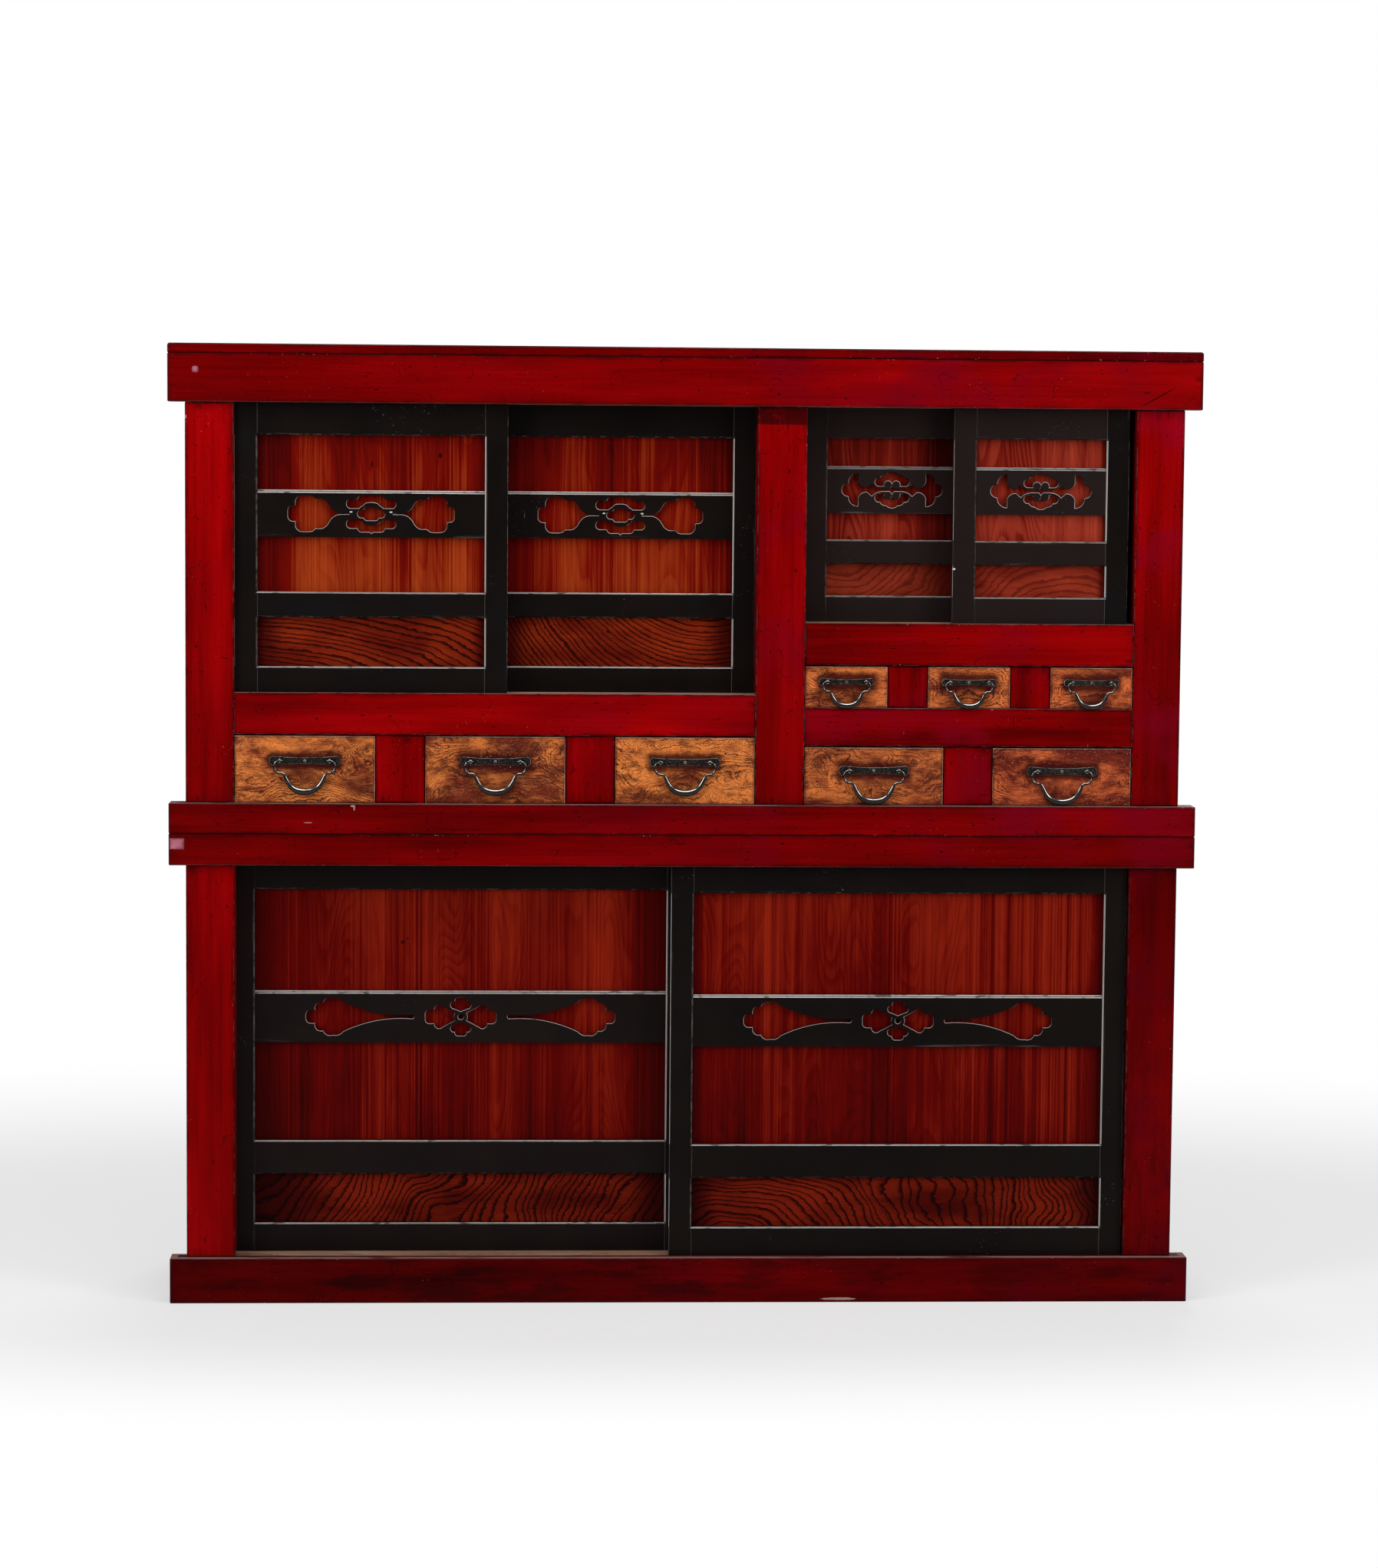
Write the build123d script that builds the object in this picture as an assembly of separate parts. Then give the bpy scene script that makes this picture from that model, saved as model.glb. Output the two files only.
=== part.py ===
from build123d import *
import os
from dataclasses import dataclass

# Two-part kitchen cabinet, in millimetres. X runs to the right along the front, Y runs to the
# back and Z up. The origin is on the floor, under the middle of the carcass. Each chest is a
# ring of rails at the bottom and the top with posts between, and the upper chest stands on the
# lower one. Pieces that lie inside one another are cut from the same block, so they always fit.

os.makedirs("parts", exist_ok=True)

# ---------------------------------------------------------------------------- driving sizes
# Carcass
rail_length = 1800.0
rail_thickness = 45.0
horn_overhang = 29.0
carcass_depth = 450.0
corner_post_width = 84.0
middle_post_width = 86.0
post_depth = 80.0
right_bay_width = 578.0
side_rail_thickness = 45.0
side_midrail_thickness = 30.0
rear_rail_thickness = 36.0
rear_post_size = 60.0
rear_middle_post_width = 40.0

# Heights of the front members and of the openings between them, from the floor up
base_rail_height = 80.0
lower_door_opening = 695.0
lower_top_rail_height = 56.0
upper_bottom_rail_height = 53.0
left_drawer_opening = 120.0
left_sill_height = 73.0
left_door_opening = 503.0
big_drawer_opening = 104.0
drawer_rail_height = 67.0
small_drawer_opening = 75.0
right_sill_height = 74.0
top_rail_height = 84.0
top_board_thickness = 17.0
lower_midrail_height = 55.0

# Depths behind the front face of the long rails
post_setback = 12.0
divider_setback = 17.0
drawer_setback = 14.0
track_setback = 24.0

# Door tracks
ridge_width = 22.0
track_back_wall = 22.0
sill_groove_depth = 7.0
head_groove_depth = 15.0
head_engagement = 8.0
end_pocket_depth = 10.0

# Boards
deck_thickness = 18.0
deck_boards = 3
dust_board_thickness = 12.0
back_board_thickness = 9.0
back_boards = 8
back_board_lap = 38.0
side_board_thickness = 9.0
side_board_setback = 16.0
side_boards = 3
panel_groove = 8.0
board_gap = 0.8
top_boards = 3
guide_thickness = 12.0
partition_thickness = 12.0
bearer_width = 34.0
bearer_height = 24.0
bearers = 4
ledger_width = 20.0
cross_rail_thickness = 33.0
divider_thickness = 18.0
shelf_bearer_width = 26.0
shelf_bearer_height = 27.5
shelf_front_gap = 6.0

# Joinery
post_tenon_setback = 14.0
post_tenon_thickness = 17.0
post_tenon_length = 40.0
peg_tenon_length = 68.0
post_tenon_shoulder = 8.0
rail_tenon_length = 12.0
rail_tenon_shoulder = 12.0
midrail_tenon_shoulder = 10.0
cross_tenon_length = 20.0
cross_tenon_setback = 9.0
cross_tenon_thickness = 14.0
divider_tenon_length = 8.0
divider_tenon_thickness = 8.0
rear_tenon_length = 18.0
rear_tenon_setback = 18.0
rear_tenon_thickness = 12.0
stub_length = 9.0
stub_shoulder = 6.0
peg_diameter = 12.0
peg_length = 32.0
peg_side_offset = 19.0
peg_height = 56.0
key_width = 26.0
key_height = 20.0
key_end_margin = 1.5
key_rise = 28.0

# Drawers, and the dividers that stand between them
big_divider_width = 86.0
small_divider_width = 70.0
drawer_length = 380.0
drawer_side_gap = 1.0
drawer_top_gap = 2.5
drawer_bottom_gap = 0.5
drawer_front_thickness = 18.0
drawer_side_thickness = 10.0
drawer_bottom_thickness = 7.0
drawer_lap = 10.0
drawer_back_drop = 8.0

# Doors
door_thickness = 20.0
door_clearance = 0.5
stile_width = 40.0
door_tenon_length = 28.0
door_tenon_shoulder = 9.0
door_tenon_setback = 4.5
door_tenon_thickness = 6.0
carved_board_setback = 3.0
carved_board_thickness = 8.0
panel_setback = 12.5
panel_thickness = 5.0
panel_tongue = 6.0
right_door_ajar = 11.0
lower_door_ajar = 2.0
lower_rear_door_tuck = 8.0

# Iron pulls, at the size of the big drawers
big_plate_length = 123.0
small_plate_length = 96.0
plate_end_height = 17.0
plate_waist_height = 11.0
plate_corner_clip = 4.6
plate_thickness = 2.0
nail_head_radius = 3.0
nail_shank_radius = 1.2
pin_spacing = 87.0
eye_outer_radius = 4.3
eye_wall = 2.1
eye_width = 3.6
eye_standoff = 5.0
pin_radius = 1.6
pin_clinch = 3.0
bail_end_radius = 1.75
bail_shoulder_radius = 2.7
bail_grip_radius = 5.9
bail_drop = 53.5
bail_end_length = 2.5
small_bail_wire = 0.9

# Half of a big bail. The grip runs from its lowest point: across, up, share of the grip's radius.
# The ear runs round the outside of the pin: out from the pin, up from it, times the wire's radius.
bail_grip = ((0.0, 0.0, 1.0), (13.0, 2.0, 0.95), (22.6, 7.4, 0.83), (28.8, 15.2, 0.71), (32.6, 22.8, 0.6))
bail_shoulder = (36.2, 29.6)
bail_ear = ((-4.0, -21.6, 1.35), (1.6, -21.0, 1.3), (6.4, -18.2, 1.2), (9.2, -12.6, 1.1),
            (9.3, -7.0, 1.05), (6.6, -2.0, 1.0))

# Height of the pull's pins over the middle of the drawer front
left_pull_rise = 14.0
right_pull_rise = 9.0
small_pull_rise = 8.5

# Softened arrises
heavy_round = 2.2
top_board_chamfer = 1.6
top_board_end_round = 4.5
light_chamfer = 0.8
fine_chamfer = 0.5
opening_bevel = 2.2
carved_bevel_height = 5.0
carved_bevel_depth = 3.5


@dataclass(frozen=True)
class DoorStyle:
    """Heights of a sliding door's members, upward from the sill it stands on."""

    bottom_rail: float
    figured_panel: float
    lower_rail: float
    lower_opening: float
    carved_board: float
    upper_opening: float


left_style = DoorStyle(45.0, 86.0, 44.0, 95.5, 81.5, 95.5)
right_style = DoorStyle(46.0, 56.5, 42.0, 46.5, 82.5, 49.0)
lower_style = DoorStyle(50.5, 88.0, 60.0, 175.0, 92.0, 181.0)

# ---------------------------------------------------------------------------- places that follow
front = -carcass_depth / 2
back_face = carcass_depth / 2 - back_board_thickness

x_outer = rail_length / 2 - horn_overhang
x_inner = x_outer - corner_post_width
x_ring = x_outer - side_rail_thickness
x_midrail = x_outer - side_midrail_thickness
middle_right = x_inner - right_bay_width
middle_left = middle_right - middle_post_width
middle_x = (middle_left + middle_right) / 2

y_rail = (front, front + rail_thickness)
y_post = (front + post_setback, front + post_setback + post_depth)
y_cross = (y_post[0], y_post[0] + cross_rail_thickness)
track_width = door_thickness + 2 * door_clearance
y_front_track = (front + track_setback, front + track_setback + track_width)
y_rear_track = (y_front_track[1] + ridge_width, y_front_track[1] + ridge_width + track_width)
y_track_board = (y_rail[1], y_rear_track[1] + track_back_wall)
y_rear_rail = (back_face - rear_rail_thickness, back_face)
y_rear_post = (back_face - rear_post_size, back_face)
y_side = (y_post[1], y_rear_post[0])
y_post_tenon = (front + post_tenon_setback, front + post_tenon_setback + post_tenon_thickness)

z_lower_sill = base_rail_height
z_lower_head = z_lower_sill + lower_door_opening
z_seam = z_lower_head + lower_top_rail_height
z_upper_floor = z_seam + upper_bottom_rail_height
z_left_drawer_top = z_upper_floor + left_drawer_opening
z_left_sill = z_left_drawer_top + left_sill_height
z_upper_head = z_left_sill + left_door_opening
z_big_drawer_top = z_upper_floor + big_drawer_opening
z_small_drawer_floor = z_big_drawer_top + drawer_rail_height
z_small_drawer_top = z_small_drawer_floor + small_drawer_opening
z_right_sill = z_small_drawer_top + right_sill_height
z_rail_top = z_upper_head + top_rail_height
z_top = z_rail_top + top_board_thickness
z_lower_midrail = z_lower_sill + (lower_door_opening - lower_midrail_height) / 2

left_bay = (-x_inner, middle_left)
right_bay = (middle_right, x_inner)
lower_bay = (-x_inner, x_inner)


# ---------------------------------------------------------------------------- small helpers
def block(x, y, z):
    """Box between the low and high values given along each axis."""
    centre = [(low + high) / 2 for low, high in (x, y, z)]
    size = [high - low for low, high in (x, y, z)]
    return Pos(*centre) * Box(*size)


def inset(span, amount):
    """The span made shorter by the amount at both ends."""
    return (span[0] + amount, span[1] - amount)


def grown(span, amount):
    """The span made longer by the amount at both ends."""
    return inset(span, -amount)


def rounded(x, y, z, radius=heavy_round):
    """Box with rounded arrises, as a heavy rail or post is worn."""
    piece = block(x, y, z)
    return fillet(piece.edges(), radius)


def eased(x, y, z, size=light_chamfer):
    """Box with lightly planed arrises, as a board or a door member has."""
    piece = block(x, y, z)
    return chamfer(piece.edges(), size)


def both_sides(piece):
    """The piece and its mirror image across the middle of the cabinet."""
    return [piece, mirror(piece, about=Plane.YZ)]


def spread(span, count, gap=0.0):
    """Equal shares of a span, with a gap between neighbours."""
    share = (span[1] - span[0] - gap * (count - 1)) / count
    starts = [span[0] + i * (share + gap) for i in range(count)]
    return [(start, start + share) for start in starts]


def write(node, pieces):
    """Write the solids of one node to its STEP file."""
    solids = [solid for piece in pieces for solid in piece.solids()]
    export_step(Compound(children=solids), f"parts/{node}.step")


# ---------------------------------------------------------------------------- shared joint blocks
def post_tenons(x, z, top_length):
    """Tenons at the foot and the head of a front post, in the thickness of the long rails."""
    width = inset(x, post_tenon_shoulder)
    foot = block(width, y_post_tenon, (z[0] - post_tenon_length, z[0]))
    head = block(width, y_post_tenon, (z[1], z[1] + top_length))
    return [foot, head]


def cross_tenons(x, z):
    """Tenons at both ends of a cross rail, let into the posts."""
    y = (y_cross[0] + cross_tenon_setback, y_cross[0] + cross_tenon_setback + cross_tenon_thickness)
    height = inset(z, rail_tenon_shoulder)
    left = block((x[0] - cross_tenon_length, x[0]), y, height)
    right = block((x[1], x[1] + cross_tenon_length), y, height)
    return [left, right]


def side_rail_tenons(z):
    """Stub tenons of the right ring side rail, let into the front and the rear rail."""
    x = inset((x_ring, x_outer), rail_tenon_shoulder)
    height = inset(z, rail_tenon_shoulder)
    near = block(x, (y_rail[1] - rail_tenon_length, y_rail[1]), height)
    far = block(x, (y_rear_rail[0], y_rear_rail[0] + rail_tenon_length), height)
    return [near, far]


def midrail_tenons(z):
    """Tenons of the right side middle rail, let into the front and the rear post."""
    x = inset((x_midrail, x_outer), midrail_tenon_shoulder)
    height = inset(z, rail_tenon_shoulder)
    return [
        block(x, (y_side[0] - cross_tenon_length, y_side[0]), height),
        block(x, (y_side[1], y_side[1] + cross_tenon_length), height),
    ]


def rear_post_tenons(x, z):
    """Tenons at the foot and the head of a rear post, let into the rear rails."""
    y = (y_rear_rail[0] + rear_tenon_setback, y_rear_rail[0] + rear_tenon_setback + rear_tenon_thickness)
    width = inset(x, rail_tenon_shoulder)
    foot = block(width, y, (z[0] - rear_tenon_length, z[0]))
    head = block(width, y, (z[1], z[1] + rear_tenon_length))
    return [foot, head]


def divider_tenons(x, z):
    """Stub tenons at the foot and the head of a drawer divider."""
    y_start = front + divider_setback + (divider_thickness - divider_tenon_thickness) / 2
    y = (y_start, y_start + divider_tenon_thickness)
    width = inset(x, post_tenon_shoulder)
    foot = block(width, y, (z[0] - divider_tenon_length, z[0]))
    head = block(width, y, (z[1], z[1] + divider_tenon_length))
    return [foot, head]


def side_panel(z):
    """Space that the boards of one right side panel fill, tongues included."""
    x = (x_outer - side_board_setback - side_board_thickness, x_outer - side_board_setback)
    return block(x, grown(y_side, panel_groove), grown(z, panel_groove))


def minus(piece, cutters):
    """The piece with every cutter taken out of it."""
    for cutter in cutters:
        piece = piece - cutter
    return piece


def plus(piece, additions):
    """The piece with every addition joined to it."""
    for addition in additions:
        piece = piece + addition
    return piece


# ---------------------------------------------------------------------------- drawer rows
@dataclass(frozen=True)
class DrawerRow:
    """One row of drawers: names, bay, floor and ceiling, divider width, plate and pull height."""

    names: tuple
    bay: tuple
    z: tuple
    divider_width: float
    plate_length: float
    rise: float

    def openings(self):
        """X span of each drawer opening, left to right."""
        return spread(self.bay, len(self.names), self.divider_width)

    def dividers(self):
        """X span of each divider between neighbouring drawers."""
        gaps = self.openings()
        return [(a[1], b[0]) for a, b in zip(gaps, gaps[1:])]


left_row = DrawerRow(
    ("left_drawer_1", "left_drawer_2", "left_drawer_3"),
    left_bay, (z_upper_floor, z_left_drawer_top),
    big_divider_width, big_plate_length, left_pull_rise,
)
big_row = DrawerRow(
    ("right_drawer_1", "right_drawer_2"),
    right_bay, (z_upper_floor, z_big_drawer_top),
    big_divider_width, big_plate_length, right_pull_rise,
)
small_row = DrawerRow(
    ("small_drawer_1", "small_drawer_2", "small_drawer_3"),
    right_bay, (z_small_drawer_floor, z_small_drawer_top),
    small_divider_width, small_plate_length, small_pull_rise,
)
drawer_rows = [left_row, big_row, small_row]


# ---------------------------------------------------------------------------- tracks
def grooves(bay, z, pocket=0.0):
    """Front and rear door grooves over one bay, between the heights given."""
    return [block(bay, y_front_track, z), block(grown(bay, pocket), y_rear_track, z)]


lower_sill_grooves = grooves(lower_bay, (z_lower_sill - sill_groove_depth, z_lower_sill), end_pocket_depth)
lower_head_grooves = grooves(lower_bay, (z_lower_head, z_lower_head + head_groove_depth), end_pocket_depth)
left_sill_grooves = grooves(left_bay, (z_left_sill - sill_groove_depth, z_left_sill))
right_sill_grooves = grooves(right_bay, (z_right_sill - sill_groove_depth, z_right_sill))
upper_head_grooves = [
    groove
    for bay in (left_bay, right_bay)
    for groove in grooves(bay, (z_upper_head, z_upper_head + head_groove_depth))
]
head_track_height = lower_top_rail_height - deck_thickness


def door_tracks():
    """Unlacquered track boards behind the sills and under the heads of the door bays."""
    between_rings = (-x_ring, x_ring)
    lower_sill = block(between_rings, y_track_board, (z_lower_sill - deck_thickness, z_lower_sill))
    lower_head = block(between_rings, y_track_board, (z_lower_head, z_lower_head + head_track_height))
    left_sill = block(left_bay, y_track_board, (z_left_sill - deck_thickness, z_left_sill))
    right_sill = block(right_bay, y_track_board, (z_right_sill - deck_thickness, z_right_sill))
    upper_head = block(between_rings, y_track_board, (z_upper_head, z_upper_head + head_track_height))
    return [
        minus(lower_sill, lower_sill_grooves),
        minus(lower_head, lower_head_grooves),
        minus(left_sill, left_sill_grooves),
        minus(right_sill, right_sill_grooves),
        minus(upper_head, upper_head_grooves),
    ]


# ---------------------------------------------------------------------------- front frame
corner_posts_x = [(-x_outer, -x_inner), (x_inner, x_outer)]
middle_post_x = (middle_left, middle_right)
z_lower_post = (z_lower_sill, z_lower_head)
z_upper_post = (z_upper_floor, z_upper_head)


def long_rail(z, cutters):
    """One long front rail with horn ends, and with its mortises and grooves cut."""
    rail = rounded((-rail_length / 2, rail_length / 2), y_rail, z)
    side_mortises = [m for t in side_rail_tenons(z) for m in both_sides(t)]
    return minus(rail, side_mortises + cutters)


def upper_post_tenons():
    """Tenons of the three upper front posts. The corner ones reach the pegs of the top rail."""
    tenons = [post_tenons(x, z_upper_post, peg_tenon_length) for x in corner_posts_x]
    tenons.append(post_tenons(middle_post_x, z_upper_post, post_tenon_length))
    return [tenon for pair in tenons for tenon in pair]


def lower_post_tenons():
    """Tenons of the two lower front posts."""
    tenons = [post_tenons(x, z_lower_post, post_tenon_length) for x in corner_posts_x]
    return [tenon for pair in tenons for tenon in pair]


def top_board(y):
    """One board of the top, planed on its arrises and rounded over at both ends."""
    board = block((-rail_length / 2, rail_length / 2), y, (z_rail_top, z_top))
    board = fillet(board.edges().filter_by(Axis.Y).group_by(Axis.Z)[-1], top_board_end_round)
    return chamfer(board.edges(), top_board_chamfer)


def rail_peg():
    """Round peg through the face of the top rail's left end and the tenon behind it."""
    x = -x_outer + peg_side_offset
    z = z_upper_head + peg_height
    return Pos(x, front + peg_length / 2, z) * Rot(90, 0, 0) * Cylinder(peg_diameter / 2, peg_length)


def rail_key():
    """Square key through the left horn of the lower chest's top rail."""
    x_start = -rail_length / 2 + key_end_margin
    z_start = z_lower_head + key_rise
    return block((x_start, x_start + key_width), y_rail, (z_start, z_start + key_height))


cross_members = [
    (left_bay, (z_left_drawer_top, z_left_sill)),
    (right_bay, (z_small_drawer_top, z_right_sill)),
    (right_bay, (z_big_drawer_top, z_small_drawer_floor)),
]


def all_divider_tenons():
    """Stub tenons of every drawer divider."""
    return [
        tenon
        for row in drawer_rows
        for x in row.dividers()
        for tenon in divider_tenons(x, row.z)
    ]


def upper_cross_rails():
    """Door sills and the rail between the two rows of drawers on the right."""
    cutters = all_divider_tenons() + left_sill_grooves + right_sill_grooves
    rails = []
    for x, z in cross_members:
        rail = minus(eased(x, y_cross, z), cutters)
        rails.append(plus(rail, cross_tenons(x, z)))
    return rails


def side_panel_cutters():
    """Spaces that all side panels take, to be cut from the frames around them."""
    spans = [
        (z_lower_sill, z_lower_midrail),
        (z_lower_midrail + lower_midrail_height, z_lower_head),
        (z_upper_floor, z_left_drawer_top),
        (z_left_sill, z_upper_head),
    ]
    return [panel for z in spans for panel in both_sides(side_panel(z))]


def upper_front_posts():
    """Two corner posts and the middle post of the upper chest."""
    mortises = [t for x, z in cross_members for t in cross_tenons(x, z)]
    mortises += [m for t in midrail_tenons((z_left_drawer_top, z_left_sill)) for m in both_sides(t)]
    mortises += side_panel_cutters() + [rail_peg()]
    posts = []
    for x in corner_posts_x + [middle_post_x]:
        head_length = post_tenon_length if x == middle_post_x else peg_tenon_length
        post = plus(rounded(x, y_post, z_upper_post), post_tenons(x, z_upper_post, head_length))
        posts.append(minus(post, mortises))
    return posts


def lower_front_posts():
    """Two corner posts of the lower chest, with pockets for the ends of the rear door."""
    z_midrail = (z_lower_midrail, z_lower_midrail + lower_midrail_height)
    mortises = [m for t in midrail_tenons(z_midrail) for m in both_sides(t)]
    pocket = block(grown(lower_bay, end_pocket_depth), y_rear_track, z_lower_post)
    posts = []
    for x in corner_posts_x:
        post = plus(rounded(x, y_post, z_lower_post), post_tenons(x, z_lower_post, post_tenon_length))
        posts.append(minus(post, mortises + side_panel_cutters() + [pocket]))
    return posts


def drawer_dividers():
    """Short upright tabs between neighbouring drawers."""
    y = (front + divider_setback, front + divider_setback + divider_thickness)
    return [
        plus(eased(x, y, row.z), divider_tenons(x, row.z))
        for row in drawer_rows
        for x in row.dividers()
    ]


# ---------------------------------------------------------------------------- side and rear frames
def bearer_spans():
    """X span of each bearer under a deck, the outer ones against the ring's side rails."""
    pitch = (2 * x_ring - bearer_width) / (bearers - 1)
    starts = [-x_ring + i * pitch for i in range(bearers)]
    return [(start, start + bearer_width) for start in starts]


def bearer_stubs(z):
    """Stub tenons at both ends of every bearer of one deck."""
    stubs = []
    for x in bearer_spans():
        width = inset(x, stub_shoulder)
        height = inset(z, stub_shoulder)
        stubs.append(block(width, (y_rail[1] - stub_length, y_rail[1]), height))
        stubs.append(block(width, (y_rear_rail[0], y_rear_rail[0] + stub_length), height))
    return stubs


floor_bearer_z = (z_lower_sill - deck_thickness - bearer_height, z_lower_sill - deck_thickness)
upper_bearer_z = (z_upper_floor - deck_thickness - bearer_height, z_upper_floor - deck_thickness)


def deck_bearers(z):
    """Bearers that carry one deck, from the front rail to the rear rail."""
    stubs = bearer_stubs(z)
    bars = []
    for i, x in enumerate(bearer_spans()):
        bar = block(x, (y_rail[1], y_rear_rail[0]), z)
        bars.append(plus(bar, stubs[2 * i:2 * i + 2]))
    return bars


def side_and_rear_frame(z_bottom_ring, z_top_ring, z_midrail, z_bearer, rear_post_spans):
    """Ring side rails, side middle rails, rear rails and rear posts of one chest."""
    z_post = (z_bottom_ring[1], z_top_ring[0])
    panels = side_panel_cutters()
    pieces = []
    for z in (z_bottom_ring, z_top_ring):
        side = eased((x_ring, x_outer), (y_rail[1], y_rear_rail[0]), z)
        side = minus(plus(side, side_rail_tenons(z)), panels)
        pieces += both_sides(side)
    midrail = plus(eased((x_midrail, x_outer), y_side, z_midrail), midrail_tenons(z_midrail))
    pieces += both_sides(minus(midrail, panels + shelf_stubs()))
    post_tenon_blocks = [t for x in rear_post_spans for t in rear_post_tenons(x, z_post)]
    for z in (z_bottom_ring, z_top_ring):
        rear = eased((-x_outer, x_outer), y_rear_rail, z)
        mortises = [m for t in side_rail_tenons(z) for m in both_sides(t)]
        pieces.append(minus(rear, mortises + post_tenon_blocks + bearer_stubs(z_bearer)))
    midrail_mortises = [m for t in midrail_tenons(z_midrail) for m in both_sides(t)]
    for x in rear_post_spans:
        y = y_rear_post if abs(x[0] + x[1]) > x_outer else y_rear_rail
        post = plus(eased(x, y, z_post), rear_post_tenons(x, z_post))
        pieces.append(minus(post, midrail_mortises + panels))
    return pieces


rear_corner_posts = [(-x_outer, -x_outer + rear_post_size), (x_outer - rear_post_size, x_outer)]
rear_middle_post = (middle_x - rear_middle_post_width / 2, middle_x + rear_middle_post_width / 2)


def wall_boards(panel_spans, z_ring_low, z_ring_high):
    """Side panels of upright boards, and the boards nailed over the back of one chest."""
    pieces = []
    for z in panel_spans:
        panel = side_panel(z)
        box = panel.bounding_box()
        x = (box.min.X, box.max.X)
        for y in spread((box.min.Y, box.max.Y), side_boards, board_gap):
            pieces += both_sides(block(x, y, (box.min.Z, box.max.Z)))
    y_back = (back_face, back_face + back_board_thickness)
    for x in spread((-x_outer, x_outer), back_boards, board_gap):
        pieces.append(eased(x, y_back, (z_ring_low - back_board_lap, z_ring_high + back_board_lap)))
    return pieces


# ---------------------------------------------------------------------------- inner boards
def deck(x, y, z_top_face, thickness, cutters=()):
    """A deck of boards that run along X, side by side."""
    z = (z_top_face - thickness, z_top_face)
    return [minus(block(x, share, z), cutters) for share in spread(y, deck_boards, board_gap)]


def shelf_bearer_spans():
    """Y span of the front and the rear bearer of the lower shelf."""
    y_near = y_track_board[1] + shelf_front_gap
    y_far = y_rear_post[0] - shelf_front_gap
    return [(y_near, y_near + shelf_bearer_width), (y_far - shelf_bearer_width, y_far)]


shelf_bearer_z = inset((z_lower_midrail, z_lower_midrail + lower_midrail_height),
                       (lower_midrail_height - shelf_bearer_height) / 2)


def shelf_stubs():
    """Stub tenons of the shelf bearers, let into the side middle rails."""
    return [
        stub
        for y in shelf_bearer_spans()
        for stub in both_sides(
            block((x_midrail, x_midrail + stub_length), inset(y, stub_shoulder),
                  inset(shelf_bearer_z, stub_shoulder))
        )
    ]


def lower_inner_boards():
    """Floor, shelf and top deck of the lower chest, with the bars that carry them."""
    between_rings = (-x_ring, x_ring)
    y_behind_track = (y_track_board[1], y_rear_rail[0])
    pieces = deck(between_rings, y_behind_track, z_lower_sill, deck_thickness)
    pieces += deck_bearers(floor_bearer_z)
    pieces += deck(between_rings, (y_rail[1], y_rear_rail[0]), z_seam, deck_thickness)
    ledger_z = (z_seam - deck_thickness - bearer_height, z_seam - deck_thickness)
    pieces.append(block(between_rings, (y_rear_rail[0] - ledger_width, y_rear_rail[0]), ledger_z))
    spans = shelf_bearer_spans()
    stubs = shelf_stubs()
    for i, y in enumerate(spans):
        pieces.append(plus(block((-x_midrail, x_midrail), y, shelf_bearer_z), stubs[2 * i:2 * i + 2]))
    shelf_y = (spans[0][0], spans[1][1])
    shelf_top = shelf_bearer_z[1] + dust_board_thickness
    pieces += deck((-x_midrail, x_midrail), shelf_y, shelf_top, dust_board_thickness)
    return pieces


def upper_inner_boards():
    """Drawer bed, dust boards and door floors of the upper chest, with their bearers."""
    corner_blocks = [block(x, y_rear_post, (z_upper_floor, z_upper_head)) for x in rear_corner_posts]
    middle_block = block(rear_middle_post, y_rear_rail, (z_upper_floor, z_upper_head))
    posts = corner_blocks + [middle_block]
    left_x = (-x_midrail, middle_x - partition_thickness / 2)
    right_x = (middle_x + partition_thickness / 2, x_midrail)
    y_floor = (y_track_board[1], back_face)
    y_dust = (y_post[1], back_face)
    pieces = deck((-x_ring, x_ring), (y_rail[1], y_rear_rail[0]), z_upper_floor, deck_thickness)
    pieces += deck_bearers(upper_bearer_z)
    pieces += deck(left_x, y_floor, z_left_sill, deck_thickness, posts)
    pieces += deck(right_x, y_floor, z_right_sill, deck_thickness, posts)
    pieces += deck(right_x, y_dust, z_small_drawer_floor, dust_board_thickness, posts)
    front_strip_z = (z_small_drawer_floor - dust_board_thickness, z_small_drawer_floor)
    pieces.append(block(right_bay, (y_cross[1], y_post[1]), front_strip_z))
    return pieces


def guide_spans(row):
    """X span of the upright guides of one row, flush with the sides of its openings."""
    edges = [(row.bay[0] - guide_thickness, row.bay[0]), (row.bay[1], row.bay[1] + guide_thickness)]
    for x in row.dividers():
        edges.append((x[0], x[0] + guide_thickness))
        edges.append((x[1] - guide_thickness, x[1]))
    return edges


def drawer_guides():
    """Upright boards that guide the drawers and carry the decks over them."""
    ceilings = [
        z_left_sill - deck_thickness,
        z_small_drawer_floor - dust_board_thickness,
        z_right_sill - deck_thickness,
    ]
    pieces = []
    for row, ceiling in zip(drawer_rows, ceilings):
        for x in guide_spans(row):
            beside_post = x[0] < row.bay[0] or x[1] > row.bay[1]
            y_start = y_post[1] if beside_post else y_rail[1]
            pieces.append(block(x, (y_start, y_rear_rail[0]), (row.z[0], ceiling)))
    return pieces


def bay_partition():
    """Upright board between the left and the right bay, behind the middle post."""
    x = (middle_x - partition_thickness / 2, middle_x + partition_thickness / 2)
    return block(x, (y_post[1], y_rear_rail[0]), (z_upper_floor, z_upper_head))


# ---------------------------------------------------------------------------- carved openwork
def mirrored(shape):
    """A flat shape joined with its mirror image across the vertical axis."""
    return shape + mirror(shape, about=Plane.YZ)


def lobe(x, y, radius):
    """Round lobe of an outline."""
    return Pos(x, y) * Circle(radius)


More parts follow.
